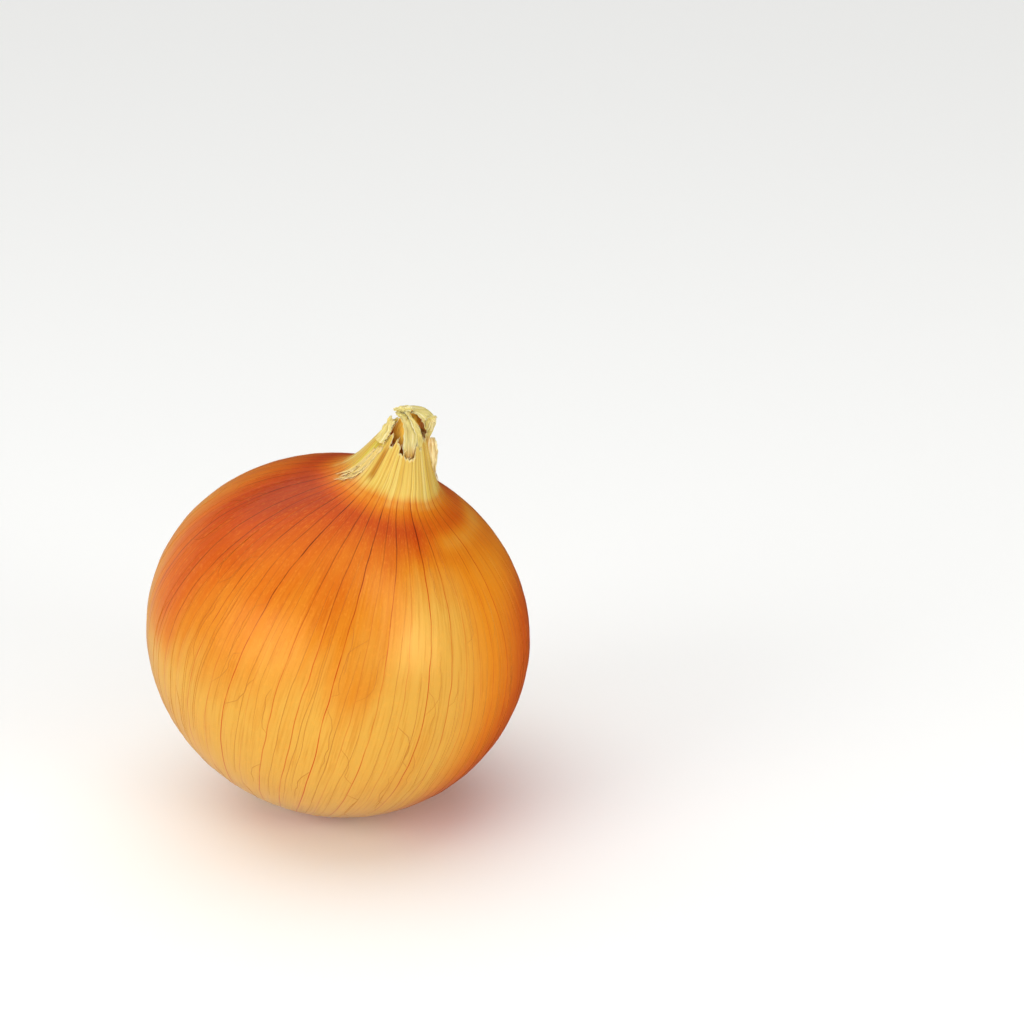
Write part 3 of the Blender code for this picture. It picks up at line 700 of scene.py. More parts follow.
def make_fine_veins(settings):
    """Fine veins between the main ones, as tapered threads half sunk in the skin."""
    surface, tones, row_angles = skin_surface(settings)
    body = np.flatnonzero(row_angles)
    rows, columns = surface.shape[:2]
    per_gap = len(COLUMN_PLACES)
    # The veins take the skin's ripeness, and the painted shade and reflected light of its right-hand edge
    shades = np.stack([tones["ripeness"], tones["flank"]], -1).reshape(rows, columns, 2)
    values = np.concatenate([surface, shades], -1)
    sides = 5
    points, faces, shade = [], [], []
    for gap, share, angles, radius in vein_paths(columns // per_gap):
        # The skin's points and tones along the path, each from the four of its grid that lie round it
        row = np.interp(angles, row_angles[body], body)
        column = gap * per_gap + np.interp(share, COLUMN_PLACES + (1.0,), range(per_gap + 1))
        up, left = np.floor(row).astype(int), np.floor(column).astype(int)
        y, x = (row - up)[:, None], (column - left)[:, None]
        down, right = np.minimum(up + 1, rows - 1), (left + 1) % columns
        left = left % columns
        found = (values[up, left] * (1 - x) + values[up, right] * x) * (1 - y)
        found = found + (values[down, left] * (1 - x) + values[down, right] * x) * y
        taper = 0.35 + 0.65 * np.sin(np.pi * np.linspace(0.0, 1.0, len(row))) ** 0.6
        tube(found[:, :3], radius * taper, sides, points, faces)
        shade.append(found[np.concatenate([np.repeat(np.arange(len(row)), sides), [0, len(row) - 1]]), 3:])
    stacked, shade = np.vstack(points), np.vstack(shade)
    return mesh_object("fine_veins", stacked, faces, {
        "grain": stacked, "ripeness": shade[:, 0], "flank": shade[:, 1]})


def fill(tree, node, inputs):
    """Links or sets inputs of a node, in their order or by name. A colour is a hex code or linear parts."""
    for name, value in inputs.items() if isinstance(inputs, dict) else enumerate(inputs):
        socket = node.inputs[name]
        if isinstance(value, bpy.types.NodeSocket):
            tree.links.new(value, socket)
        elif socket.type == "RGBA":
            socket.default_value = (*(linear(value) if isinstance(value, str) else value), 1.0)
        else:
            socket.default_value = value


def add_node(tree, kind, inputs=(), output=0, **settings):
    """Adds a node, sets it up, fills its inputs and gives one of its outputs."""
    node = tree.nodes.new(kind)
    for name, value in settings.items():
        setattr(node, name, value)
    fill(tree, node, inputs)
    return node.outputs[output]


def new_material(name):
    """A new material, with its node tree and its shader."""
    material = bpy.data.materials.new(name)
    material.use_nodes = True
    return material, material.node_tree, material.node_tree.nodes["Principled BSDF"]


def grain_pattern(tree, across, lengthways, detail):
    """A pattern along the grain, its features this wide and this long in mm."""
    grain = add_node(tree, "ShaderNodeAttribute", output="Vector", attribute_name="grain")
    scale = (1.0 / across, 1.0 / across, 1.0 / lengthways)
    scaled = add_node(tree, "ShaderNodeVectorMath", (grain, scale), operation="MULTIPLY")
    return add_node(tree, "ShaderNodeTexNoise", {"Vector": scaled, "Scale": 1.0, "Detail": detail})


def layered(tree, colour, layers, shape="SMOOTHSTEP", blend="MIX"):
    """Lays colours over a colour, each as (value, where none shows, where most shows, most, colour)."""
    for value, none_at, most_at, most, over in layers:
        share = add_node(
            tree, "ShaderNodeMapRange", (value, none_at, most_at, 0.0, most), interpolation_type=shape
        )
        colour = add_node(
            tree, "ShaderNodeMix", {0: share, 6: colour, 7: over}, 2, data_type="RGBA", blend_type=blend
        )
    return colour


def papery_skin(settings):
    """Cured onion skin."""
    # Dry, thin and tight over the bulb: a satin sheen over deep colour, with combed fibres and darker veins
    material, tree, shader = new_material("cured_onion_skin")
    # Fibres half a millimetre apart run from neck to root, in streaks and patches of the curing, with the
    # neck's folds, the ribs between the fibres, and the places where veins fade
    fibre, streak, patch, fold, ribs, breaks = (grain_pattern(tree, *size) for size in (
        (0.45, 9.0, 4.0), (2.2, 30.0, 3.0), (9.0, 14.0, 3.0),
        (0.9, 22.0, 2.0), (0.9, 26.0, 2.0), (3.0, 6.0, 2.0),
    ))
    # Real skin cells are about 0.2 by 0.4 mm, and are drawn at over twice that so that they show
    cells = grain_pattern(tree, 0.55, 0.9, 2.0)
    ripe, vivid, flank, straw, green, warm, peel, strip, distance, mark, torn, inside = (
        add_node(tree, "ShaderNodeAttribute", output="Fac", attribute_name=name)
        for name in (
            "ripeness", "vivid", "flank", "straw", "green", "warm", "peel", "strip",
            "vein_distance", "vein_mark", "torn_edge", "inside",
        )
    )
    for pattern, weight in ((streak, 0.22), (patch, 0.24)):
        ripe = add_node(tree, "ShaderNodeMath", (pattern, weight, ripe), operation="MULTIPLY_ADD")
    # From russet to gold as the skin ripens; then a deeper orange at the right, partly its own and partly
    # painted reflected light, and painted shade with orange reflected light at the right-hand edge
    colour = layered(tree, settings.russet, (
        (ripe, 0.23, 0.48, 1.0, settings.red_orange),
        (ripe, 0.48, 0.73, 1.0, settings.orange),
        (ripe, 0.73, 0.93, 1.0, settings.amber),
        (ripe, 0.93, 1.23, 1.0, settings.gold),
        (vivid, 0.0, 1.0, 0.85, settings.vivid_orange),
        (flank, 0.0, 1.0, 1.0, settings.flank),
    ), "LINEAR")

    # The neck's straw, with browner and paler folds and strips, painted shade in a crease at the left, and
    # a pale film that peels
    neck = layered(tree, settings.straw, ((green, 0.0, 1.0, 1.0, settings.green_straw),), "LINEAR")
    neck = layered(tree, neck, (
        (fold, 0.44, 0.30, 0.7, "#CC9230"),
        (fold, 0.54, 0.70, 0.6, "#E8D88C"),
        (strip, 0.1, 1.0, 0.42, "#E9DA94"),
        (strip, -0.1, -1.0, 0.45, "#CC9A38"),
    ))
    film = add_node(
        tree, "ShaderNodeMapRange", (fibre, 0.40, 0.58, 0.15, 0.95), interpolation_type="SMOOTHSTEP"
    )
    film = add_node(tree, "ShaderNodeMath", (peel, film), operation="MULTIPLY")
    neck = layered(tree, neck, (
        (warm, 0.0, 1.0, 1.0, "#AE7216"),
        (film, 0.0, 1.0, 1.0, "#ECD9A0"),
    ), "LINEAR")
    straw = add_node(tree, "ShaderNodeMath", (straw, film), operation="MAXIMUM")
    colour = layered(tree, colour, ((straw, 0.0, 1.0, 1.0, neck),), "LINEAR")
    colour = layered(tree, colour, ((fibre, 0.45, 0.75, 0.8, "#F1DFC8"),), blend="MULTIPLY")
    colour = layered(tree, colour, ((cells, 0.52, 0.72, 0.12, "#FFAE3C"),))

    # Veins are broken in strength along their length, and fade into the neck
    near = add_node(tree, "ShaderNodeMath", (fibre, 0.12, distance), operation="MULTIPLY_ADD")
    for fading in (
        (near, 0.07, 0.22, 1.0, 0.0),
        (breaks, 0.30, 0.56, 0.50, 1.0),
        (straw, 0.0, 1.0, 1.0, 0.45),
    ):
        share = add_node(tree, "ShaderNodeMapRange", fading, interpolation_type="SMOOTHSTEP")
        mark = add_node(tree, "ShaderNodeMath", (mark, share), operation="MULTIPLY")
    vein = layered(tree, settings.dark_vein, ((ripe, 0.58, 1.08, 1.0, settings.red_vein),))
    colour = layered(tree, colour, ((mark, 0.0, 1.0, 1.0, vein),), "LINEAR", "MULTIPLY")
    # A pale torn rim, and the recess's inner wall in bright amber, a painted glow of light in the neck's
    # shade
    colour = layered(tree, colour, (
        (torn, 0.0, 1.0, 0.7, "#E9DCA6"),
        (inside, 0.0, 1.0, 1.0, "#F0A450"),
    ), "LINEAR")

    relief = 0.0
    for pattern, height in ((fibre, 0.6), (cells, 0.45), (ribs, 1.3)):
        relief = add_node(tree, "ShaderNodeMath", (pattern, height, relief), operation="MULTIPLY_ADD")
    fill(tree, shader, {
        "Base Color": colour,
        "Roughness": add_node(tree, "ShaderNodeMapRange", (streak, 0.3, 0.7, 0.29, 0.37)),
        "IOR": 1.46,
        "Specular Tint": SKIN_SHEEN,
        "Coat Weight": 0.02,
        "Coat Roughness": 0.22,
        "Subsurface Weight": 0.12,
        "Subsurface Radius": (1.0, 0.45, 0.15),
        "Subsurface Scale": 2.0 * MM,
        "Normal": add_node(
            tree, "ShaderNodeBump", {"Height": relief, "Strength": 0.5, "Distance": 0.08 * MM}
        ),
    })
    return material


def vein_thread():
    """Fine vein of the skin."""
    # Woody, so deeper in colour than the skin: brown on the shoulder and orange below
    material, tree, shader = new_material("fine_vein")
    ripe, flank = (
        add_node(tree, "ShaderNodeAttribute", output="Fac", attribute_name=name)
        for name in ("ripeness", "flank")
    )
    patch = grain_pattern(tree, 2.0, 2.0, 2.0)
    ripe = add_node(tree, "ShaderNodeMath", (patch, 0.2, ripe), operation="MULTIPLY_ADD")
    # At the right-hand edge, painted shade with orange reflected light
    colour = layered(tree, "#7E2E04", (
        (ripe, 0.1, 0.45, 1.0, "#A84C08"),
        (ripe, 0.45, 0.75, 1.0, "#C66A1C"),
        (ripe, 0.75, 1.0, 1.0, "#CC8230"),
        (flank, 0.0, 1.0, 1.0, "#A84200"),
    ), "LINEAR")
    fill(tree, shader, {"Base Color": colour, "Roughness": 0.5, "Specular Tint": SKIN_SHEEN})
    return material


def smooth_line(points, count):
    """Points evenly along a smooth curve through these points, or a smooth sheet through these rows."""
    points = np.concatenate([[2.0 * points[0] - points[1]], points, [2.0 * points[-1] - points[-2]]])
    place = np.linspace(0.0, len(points) - 3.0, count)
    first = np.minimum(place.astype(int), len(points) - 4)
    t = (place - first).reshape([-1] + [1] * (points.ndim - 1))
    a, b, c, d = (points[first + move] for move in range(4))
    return b + 0.5 * ((c - a) * t + (2 * a - 5 * b + 4 * c - d) * t**2 + (3 * b - a - 3 * c + d) * t**3)


def directions(grid, axis):
    """Unit directions along one axis of a grid of points."""
    step = np.gradient(grid, axis=axis)
    return step / np.maximum(np.linalg.norm(step, axis=-1, keepdims=True), 1e-9)


def rail_grid(rails, rows, columns):
    """A smooth sheet across rails of (longitude, radius, height) about the neck's middle."""
    curves = [smooth_line(around(*np.array(rail, float).T) + NECK_OFFSET, rows) for rail in rails]
    return np.swapaxes(smooth_line(np.array(curves), columns), 0, 1)


def leaf_sheet(
    name, grid, thickness, seed,
    ridges=9, ridge=0.06, fray=0.5, ragged=0.12, curl=0.0, buckle=0.1, lining=0, foot=0.0, pale=0.0,
):
    """A thin dried leaf end over this grid, its first row the foot, ridged lengthways and frayed.

    ridges is how many there are and ridge how high they stand. fray and ragged are how far its end
    and sides are torn, and curl and buckle how far its sides and its whole face bend. foot is how far
    up from its foot it is darker, all in mm; that darker foot is partly the leaf's browner base and
    partly painted shade low in the neck. lining and pale are shares of a bright amber back, a painted
    glow of light where the hood's inner face lies in shade, and of a paler colour.
    """
    draw = np.random.default_rng(seed)
    rows, columns = grid.shape[:2]
    share, v = np.linspace(0.0, 1.0, columns)[None, :], np.linspace(0.0, 1.0, rows)[:, None]
    lengthways, across = directions(grid, 0), directions(grid, 1)
    normal = np.cross(across, lengthways)
    normal /= np.maximum(np.linalg.norm(normal, axis=-1, keepdims=True), 1e-9)

    def wave(turns):
        return np.sin(2.0 * np.pi * (turns + draw.random()))

    lift = 0.0
    for count in (0.5, 1.0, 1.9):
        sway = 0.22 * wave(v * draw.uniform(0.7, 1.6))
        lift = lift + ridge * draw.uniform(0.5, 1.0) * wave(ridges * count * share + sway)
    bend = wave(2.3 * v + 0.6 * share)
    bend = bend + 0.6 * wave(4.1 * v - 0.8 * share)
    lift = lift + buckle * bend + curl * (2.0 * share - 1.0) ** 4
    grid = grid + normal * lift[..., None]

    # Ragged sides and a frayed end
    for edge in (1.0 - smooth_step(share, 0.0, 0.22), smooth_step(share, 0.78, 1.0)):
        jag = wander(draw, v[:, 0], 0.045, ragged) + wander(draw, v[:, 0], 0.015, 0.4 * ragged)
        grid = grid + across * (jag[:, None] * edge)[..., None]
    knots = np.sort(np.concatenate([[0.0, 1.0], draw.random(16)]))
    tail = np.interp(share[0], knots, draw.uniform(-fray, 0.3 * fray, len(knots)))
    grid = grid + lengthways * (smooth_step(v, 0.84, 1.0) * tail[None, :])[..., None]

    # Both faces, closer together at the torn edges
    steps = np.linalg.norm(np.diff(grid[:, columns // 2], axis=0), axis=1)
    length = np.concatenate([[0.0], np.cumsum(steps)])
    width = np.linalg.norm(np.diff(grid, axis=1), axis=-1).sum(1).mean()
    inset = np.minimum(np.minimum(share, 1.0 - share) * width, (length[-1] - length)[:, None])
    half = 0.5 * thickness * (0.3 + 0.7 * smooth_step(inset, 0.0, 0.5))
    normal = normal * half[..., None]
    points = np.concatenate([grid + normal, grid - normal]).reshape(-1, 3)
    # Each piece, and each of its faces, has its own part of the fibres' pattern
    grain = np.broadcast_arrays(share * width + 31.0 * seed, 0.0, length[:, None])
    grain = np.stack(grain, -1).reshape(-1, 3)

    def on_grid(values):
        return np.broadcast_to(values, (rows, columns)).ravel()

    # A lined back is marked for a bright amber, a painted glow where the hood's inner face lies in shade
    lined = on_grid(lining * (1.0 - smooth_step(v, 0.5, 0.7)))
    return mesh_object(name, points, sheet_faces(rows, columns), {
        "grain": np.vstack([grain, grain + [0.0, 5.0, 0.0]]),
        "torn_edge": np.tile(on_grid(1.0 - smooth_step(inset, 0.0, 0.35)), 2),
        # Darker towards the foot, partly the leaf's browner base and partly painted shade low in the neck
        "foot": np.tile(on_grid(1.0 - smooth_step(length, 0.4 * foot, foot + 0.01)[:, None]), 2),
        "pale": np.full(len(points), pale),
        "lining": np.concatenate([0.0 * lined, lined]),
    })


def sliver_grid(free_longitude, free_angle, root_longitude, root_angle, half_width, lift):
    """A narrow strip that lies on the flare of the neck and lifts off it at its lower end."""
    v = np.linspace(0.0, 1.0, SLIVER_ROWS)[:, None]
    share = np.linspace(-1.0, 1.0, SLIVER_COLUMNS)[None, :]
    radius, height = body_place(root_angle + (free_angle - root_angle) * v)
    longitude = root_longitude + (free_longitude - root_longitude) * v
    longitude = longitude + np.degrees(share * half_width * (1.0 - 0.55 * v**2) / radius)
    raised = 0.12 + lift * v**2 + 0.08 * (1.0 - share**2)
    return swollen(longitude, radius + 0.4 * raised, height + 0.9 * raised)


def make_rim_fibres():
    """Fine dry threads that stand out of the torn rim."""
    points, faces = [], []
    draw = np.random.default_rng(FIBRE_SEED)
    t = np.linspace(0.0, 1.0, 9)
    for number in range(RIM_FIBRES):
        longitude = 360.0 * number / RIM_FIBRES + draw.uniform(-4.0, 4.0)
        top = float(rim_height(np.array(longitude)))
        radius = float(neck_radius(min(top, RIM_HEIGHT))) - 0.15
        foot = around(longitude, radius, top - 0.7) + NECK_OFFSET
        aside = longitude + draw.uniform(-70.0, 70.0)
        reach = around(aside, draw.uniform(-0.1, 0.5), draw.uniform(0.7, 1.0))
        length = draw.uniform(*FIBRE_LENGTHS)
        path = foot + length * reach * t[:, None] + stray(draw, t, 0.35, 0.22)
        tube(path, FIBRE_RADIUS * (1.0 - 0.7 * t), 6, points, faces)
    stacked = np.vstack(points)
    attributes = {"grain": stacked}
    for name, value in (("torn_edge", 0.7), ("foot", 0.0), ("lining", 0.0), ("pale", 1.0)):
        attributes[name] = np.full(len(stacked), value)
    return mesh_object("rim_fibres", stacked, faces, attributes)


def dried_leaf(settings):
    """Dried leaf end of the neck."""
    # Brittle, fibrous and matt, and so thin that light glows through it. Pale where it is torn
    material, tree, shader = new_material("dried_onion_leaf")
    fibre = grain_pattern(tree, 0.22, 5.0, 4.0)
    streak = grain_pattern(tree, 0.8, 9.0, 2.0)
    pale, foot, lining, torn = (
        add_node(tree, "ShaderNodeAttribute", output="Fac", attribute_name=name)
        for name in ("pale", "foot", "lining", "torn_edge")
    )
    colour = layered(tree, settings.leaf, (
        (streak, 0.50, 0.36, 0.7, "#CDBB5C"),
        (streak, 0.52, 0.66, 0.8, "#EDE3AC"),
        (pale, 0.0, 0.5, 1.0, "#F4CA68"),
        (pale, 0.5, 1.0, 1.0, "#F8E2A8"),
    ))
    vein = layered(tree, settings.leaf_vein, ((pale, 0.0, 1.0, 1.0, "#D6A454"),), "LINEAR")
    colour = layered(tree, colour, ((fibre, 0.50, 0.68, 0.8, vein),))
    # Layers of a darker foot, partly the leaves' browner base and partly painted shade low in the neck; of
    # pale torn edges; and of a bright amber lining, a painted glow where the hood's inner face lies in
    # shade
    for value, most, light, dark in (
        (foot, 0.85, "#DFA848", "#B87420"),
        (torn, 0.45, "#EFE6BC", "#EFE6BC"),
        (lining, 1.0, "#FFCC80", "#E8A050"),
    ):
        tone = layered(tree, light, ((fibre, 0.42, 0.62, 1.0, dark),))
        colour = layered(tree, colour, ((value, 0.0, 1.0, most, tone),), "LINEAR")
    fill(tree, shader, {
        "Base Color": colour,
        "Roughness": 0.62,
        "Subsurface Weight": 0.35,
        "Subsurface Radius": (1.0, 0.8, 0.5),
        "Subsurface Scale": 0.6 * MM,
        "Normal": add_node(
            tree, "ShaderNodeBump", {"Height": fibre, "Strength": 0.7, "Distance": 0.15 * MM}
        ),
    })
    return material


def amber_skin(settings):
    """Inner skin of the neck."""
    # Glossier and clearer than the outer skin, so deep amber; it turns to umber, a painted shade, deeper in
    # the neck
    material, tree, shader = new_material("amber_inner_skin")
    fibre = grain_pattern(tree, 0.3, 4.0, 4.0)
    depth = add_node(tree, "ShaderNodeAttribute", output="Fac", attribute_name="depth")
    colour = layered(tree, settings.amber, ((depth, 0.0, 1.0, 1.0, settings.umber),), "LINEAR")
    colour = layered(tree, colour, ((fibre, 0.50, 0.70, 0.7, "#D4C2AD"),), blend="MULTIPLY")
    fill(tree, shader, {
        "Base Color": colour,
        "Roughness": 0.42,
        "Specular Tint": SKIN_SHEEN,
        "Subsurface Weight": 0.1,
        "Subsurface Scale": 1.0 * MM,
        "Normal": add_node(
            tree, "ShaderNodeBump", {"Height": fibre, "Strength": 0.6, "Distance": 0.12 * MM}
        ),
    })
    return material


def make_inner_skin():
    """The inner skin rolled up in the neck, folded and slightly twisted."""
    fall = np.linspace(0.02, 1.0, ROLL_ROWS)[:, None]
    foot = RECESS_FLOOR + GAP
    longitude = np.linspace(0.0, 360.0, ROLL_COLUMNS, endpoint=False)[None, :]
    height = ROLL_TOP + (foot - ROLL_TOP) * fall**1.5
    # The folds and the ridges are wound a little round the roll
    fold = 1.0 - FOLD_DEPTH * (1.0 + np.cos(np.radians(ROLL_FOLDS * longitude + 4.0 * (height - foot))))
    fold = fold + RIDGE_DEPTH * np.cos(np.radians(ROLL_RIDGES * longitude + 16.0 * (height - foot)))
    points = around(longitude, ROLL_RADIUS * fall**0.33 * fold, height).reshape(-1, 3)
    ends = np.array([[0.0, 0.0, ROLL_TOP], [0.0, 0.0, foot]])
    points = np.vstack([points, ends]) + NECK_OFFSET
    # Painted shade: the inner skin is marked darker deeper in the neck
    depth = np.repeat(1.0 - smooth_step(height, ROLL_SHADE_FROM, ROLL_SHADE_TO), ROLL_COLUMNS)
    grain = around(longitude + 4.0 * (height - foot), 3.0, height).reshape(-1, 3)
    return mesh_object("neck_inner_roll", points, ring_faces(ROLL_ROWS, ROLL_COLUMNS), {
        "grain": np.vstack([grain, ends + NECK_OFFSET]), "depth": np.concatenate([depth, [0.0, 1.0]])})


def plate_top(radius):
    """Height of the root plate's upper face at this radius."""
    return dimple(radius) - ROOT_DEPTH * np.sqrt(1.0 - (radius / EQUATOR_RADIUS) ** 2) - GAP


def plate_underside(radius):
    """Height of the root plate's crowned underside at this radius."""
    return plate_top(radius) - PLATE_EDGE - PLATE_CROWN * (1.0 - (radius / PLATE_RADIUS) ** 2)


def make_root_disc():
    """The corky root plate, its underside pitted."""
    radii = np.linspace(0.1, PLATE_RADIUS, DISC_RINGS)
    heights = np.concatenate([plate_top(radii), plate_underside(radii[::-1])])[:, None]
    radii = np.concatenate([radii, radii[::-1]])[:, None]
    longitude = np.linspace(0.0, 360.0, DISC_COLUMNS, endpoint=False)[None, :]
    points = around(longitude, radii, heights).reshape(-1, 3)
    rough = sum(fold_noise(points, wide, seed) * deep for seed, (wide, deep) in enumerate(PITS, 4))
    under = np.repeat(np.arange(2 * DISC_RINGS) >= DISC_RINGS, DISC_COLUMNS)
    points[:, 2] += np.where(under, np.abs(rough) - 0.1, 0.0)
    points[:, :2] *= (1.0 + 0.05 * fold_noise(points * [1, 1, 0], 2.5, 6))[:, None]
    points = np.vstack([points, [[0.0, 0.0, plate_top(0.0)], [0.0, 0.0, plate_underside(0.0)]]])
    return mesh_object("root_disc", points, ring_faces(2 * DISC_RINGS, DISC_COLUMNS), {"grain": points})


def make_rootlets(settings):
    """Short dried rootlets, bent outwards and kept clear of the floor."""
    points, faces = [], []
    t = np.linspace(0.0, 1.0, 9)
    along = t[:, None]
    for number in range(settings.rootlets):
        # Each has its own draws, and stands at the next step of a spiral over the plate
        draw = np.random.default_rng(ROOTLET_SEED + number)
        share = math.sqrt((number + 0.5) / settings.rootlets)
        longitude = ROOTLET_SPIRAL * number + draw.uniform(-12.0, 12.0)
        radius = 0.92 * PLATE_RADIUS * share
        start = around(longitude, radius, float(plate_underside(radius)) + 0.4)
        outwards = around(longitude + draw.uniform(-35.0, 35.0), 0.35 + 0.75 * share, -1.0)
        outwards = outwards / np.linalg.norm(outwards)
        bend = around(longitude + draw.uniform(-90.0, 90.0), 0.5, 0.25)
        length = ROOTLET_LENGTH * draw.uniform(0.55, 1.25)
        curl = stray(draw, t, 0.3, 0.22)
        radii = settings.rootlet_radius / MM * (1.0 - 0.6 * t) * draw.uniform(0.75, 1.15)
        course = outwards * along + bend * along * along
        path = start + length * course + curl
        while lying(path)[:, 2].min() < (FLOOR_CLEARANCE + radii.max()) * MM and length > 0.2:
            length *= 0.9
            path = start + length * course + curl * (length / ROOTLET_LENGTH)
        tube(path, radii, 7, points, faces)
    stacked = np.vstack(points)
    return mesh_object("rootlets", stacked, faces, {"grain": stacked})


def corky_root(name, colour, crevice):
    """Dried root tissue."""
    # Corky and matt, brown with darker crevices about half a millimetre across
    material, tree, shader = new_material(name)
    speckle = grain_pattern(tree, 0.6, 0.6, 5.0)
    fill(tree, shader, {
        "Base Color": layered(tree, colour, ((speckle, 0.35, 0.65, 1.0, crevice),)),
        "Roughness": 0.8,
        "Normal": add_node(
            tree, "ShaderNodeBump", {"Height": speckle, "Strength": 0.7, "Distance": 0.2 * MM}
        ),
    })
    return material


def studio_object(name, data, place=(0.0, 0.0, 0.0), turn=(0.0, 0.0, 0.0)):
    """Puts a surface, light or camera in the scene, at this place and turned so."""
    made = bpy.data.objects.new(name, data)
    made.location = place
    made.rotation_euler = turn
    bpy.context.scene.collection.objects.link(made)
    return made


def turned_to_onion(place):
    """The turn of a light at this place that shines on the onion."""
    return (Vector(LIT_PLACE) - Vector(place)).to_track_quat("-Z", "Y").to_euler()


class ONION_OT_outer_skin(bpy.types.Operator):
    """Make the veined dry skin of the bulb, with its pleated neck and torn rim"""

    bl_idname = "onion.outer_skin"
    bl_label = "Outer Skin"

    def execute(self, context):
        settings = context.scene.onion.skin
        finish_piece(make_outer_skin(settings), papery_skin(settings), "bulb")
        finish_piece(make_fine_veins(settings), vein_thread())
        return {"FINISHED"}


class ONION_OT_neck_leaves(bpy.types.Operator):
    """Make the dried leaf ends that are left at the neck"""

    bl_idname = "onion.neck_leaves"
    bl_label = "Neck Leaves"

    def execute(self, context):
        settings = context.scene.onion.neck
        thickness = settings.leaf_thickness / MM
        pieces = [
            leaf_sheet(name, rail_grid(rails, rows, columns), thickness, seed, **form)
            for seed, (name, rails, rows, columns, form) in enumerate(LEAF_ENDS, LEAF_SEED)
        ]
        for number, place in enumerate(SLIVERS):
            pieces.append(leaf_sheet(
                f"neck_sliver_{number + 1}", sliver_grid(*place), SLIVER_THICKNESS, SLIVER_SEED + number,
                ridges=3, ridge=0.03, fray=1.3, ragged=0.15, buckle=0.03, pale=0.5,
            ))
        leaf = dried_leaf(settings)
        for piece in (*pieces, make_rim_fibres()):
            finish_piece(piece, leaf)
        return {"FINISHED"}


class ONION_OT_inner_skin(bpy.types.Operator):
    """Make the amber inner skin that is rolled up in the neck"""

    bl_idname = "onion.inner_skin"
    bl_label = "Inner Skin"

    def execute(self, context):
        material = amber_skin(context.scene.onion.neck)
        finish_piece(make_inner_skin(), material, "neck_inner_skin")
        return {"FINISHED"}


class ONION_OT_root_end(bpy.types.Operator):
    """Make the corky root plate and its rootlets"""

    bl_idname = "onion.root_end"
    bl_label = "Root End"

    def execute(self, context):
        settings = context.scene.onion.root
        plate = corky_root("corky_root_plate", settings.plate, "#3A2214")
        rootlet = corky_root("dried_rootlet", settings.rootlet, "#5C3620")
        finish_piece(make_root_disc(), plate, "root_plate")
        finish_piece(make_rootlets(settings), rootlet)
        return {"FINISHED"}


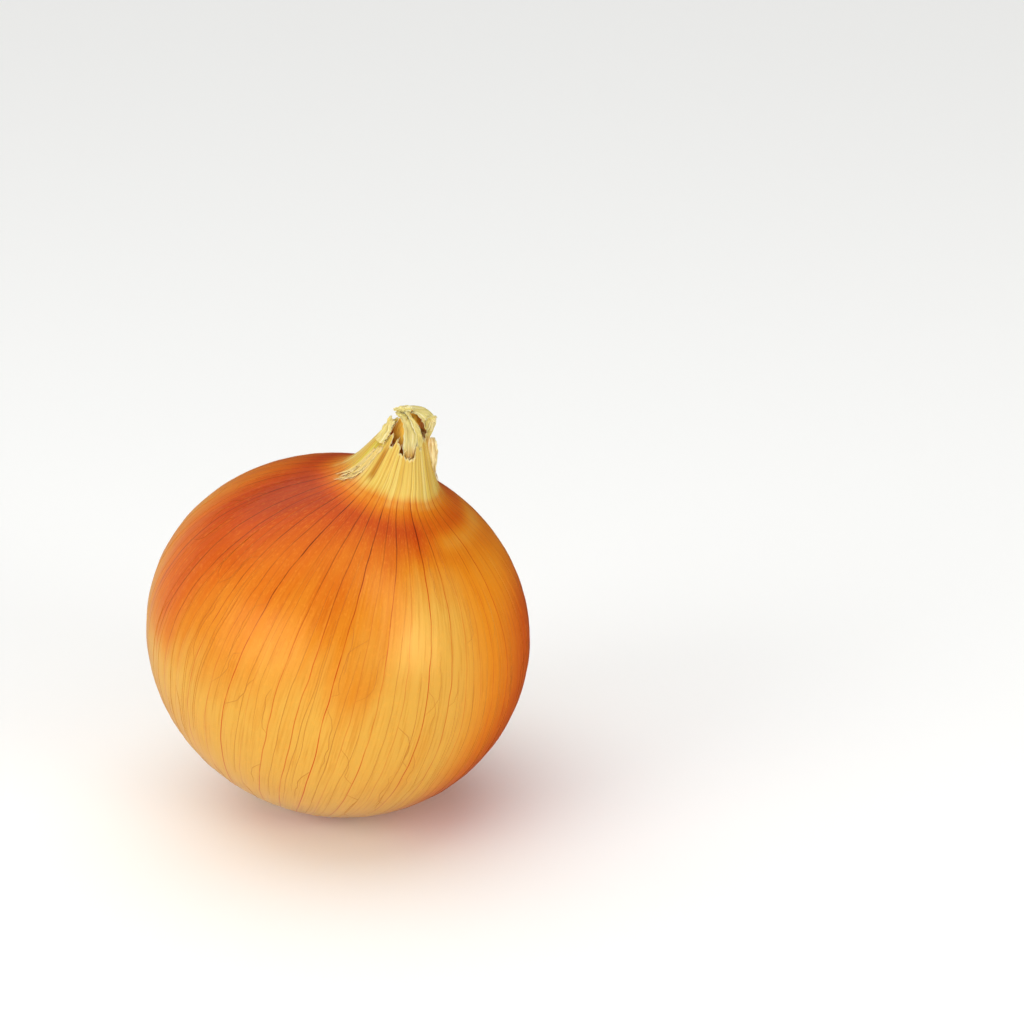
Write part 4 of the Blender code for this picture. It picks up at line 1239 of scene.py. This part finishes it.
class ONION_OT_studio(bpy.types.Operator):
    """Make the pale surface, the soft studio light and the camera"""

    bl_idname = "onion.studio"
    bl_label = "Studio"

    def execute(self, context):
        settings = context.scene.onion.studio
        scene = context.scene
        mesh = bpy.data.meshes.new("surface")
        reach = SURFACE_REACH
        corners = [(-reach, -reach, 0.0), (reach, -reach, 0.0), (reach, reach, 0.0), (-reach, reach, 0.0)]
        mesh.from_pydata(corners, [], [(0, 1, 2, 3)])
        surface = studio_object("surface", mesh)
        # Matt card, so that it gives an even pale ground
        material, tree, shader = new_material("white_card")
        fill(tree, shader, {"Base Color": settings.surface, "Roughness": 0.6})
        mesh.materials.append(material)
        # As with dark flags round a product table, reflections see neither the card nor a bright room
        surface.visible_glossy = False

        world = bpy.data.worlds.new("daylight")
        world.use_nodes = True
        tree = world.node_tree
        direction = add_node(tree, "ShaderNodeTexCoord", output="Generated")
        strengths = []
        for dim_side, bright_at, dim_at, bright, dim in ROOM_LIGHT:
            facing = add_node(
                tree, "ShaderNodeVectorMath", (direction, dim_side), "Value", operation="DOT_PRODUCT"
            )
            limits = facing, bright_at, dim_at, bright * settings.daylight, dim * settings.daylight
            strengths.append(add_node(tree, "ShaderNodeMapRange", limits, interpolation_type="SMOOTHSTEP"))
        mirrored = add_node(tree, "ShaderNodeLightPath", output="Is Glossy Ray")
        strength = add_node(tree, "ShaderNodeMix", {0: mirrored, 2: strengths[0], 3: strengths[1]})
        fill(tree, tree.nodes["Background"], {"Color": "#FFFFFF", "Strength": strength})
        scene.world = world

        for name, power, place, size, lights_all in AREA_LIGHTS:
            light = bpy.data.lights.new(name, "AREA")
            light.shape = "RECTANGLE"
            light.size, light.size_y = size
            light.energy = getattr(settings, power)
            lamp = studio_object(name, light, place, turned_to_onion(place))
            lamp.visible_diffuse = lights_all
        sun = bpy.data.lights.new("overhead", "SUN")
        sun.energy = settings.overhead
        sun.angle = math.radians(SUN_SPREAD)
        studio_object("overhead", sun, turn=turned_to_onion(SUN_FROM))

        lens = bpy.data.cameras.new("camera")
        lens.lens = settings.focal_length
        lens.sensor_width = SENSOR_WIDTH
        scene.camera = studio_object("camera", lens, CAMERA_PLACE, (math.radians(CAMERA_TILT), 0.0, 0.0))
        scene.view_settings.view_transform = "Standard"
        return {"FINISHED"}


class ONION_PT_panel(bpy.types.Panel):
    """The onion's settings, with the operators that use them"""

    bl_label = "Onion"
    bl_idname = "ONION_PT_panel"
    bl_space_type = "VIEW_3D"
    bl_region_type = "UI"
    bl_category = "Onion"

    def draw(self, context):
        groups = context.scene.onion
        shown = (
            (groups.skin, (ONION_OT_outer_skin,)),
            (groups.neck, (ONION_OT_neck_leaves, ONION_OT_inner_skin)),
            (groups.root, (ONION_OT_root_end,)),
            (groups.studio, (ONION_OT_studio,)),
        )
        for group, operators in shown:
            box = self.layout.box()
            for name in group.__annotations__:
                box.prop(group, name)
            for operator in operators:
                box.operator(operator.bl_idname)


CLASSES = (
    OnionSkinSettings, OnionNeckSettings, OnionRootSettings, OnionStudioSettings, OnionSettings,
    ONION_OT_outer_skin, ONION_OT_neck_leaves, ONION_OT_inner_skin, ONION_OT_root_end, ONION_OT_studio,
    ONION_PT_panel,
)


def register():
    """Makes the settings, operators and panel known to Blender."""
    for made in CLASSES:
        bpy.utils.register_class(made)
    bpy.types.Scene.onion = PointerProperty(type=OnionSettings)


def unregister():
    """Takes them away again."""
    del bpy.types.Scene.onion
    for made in reversed(CLASSES):
        bpy.utils.unregister_class(made)


def main():
    """Builds the whole scene by its operators."""
    register()
    bpy.ops.onion.studio()
    bpy.ops.onion.outer_skin()
    bpy.ops.onion.neck_leaves()
    bpy.ops.onion.inner_skin()
    bpy.ops.onion.root_end()


if __name__ == "__main__":
    main()
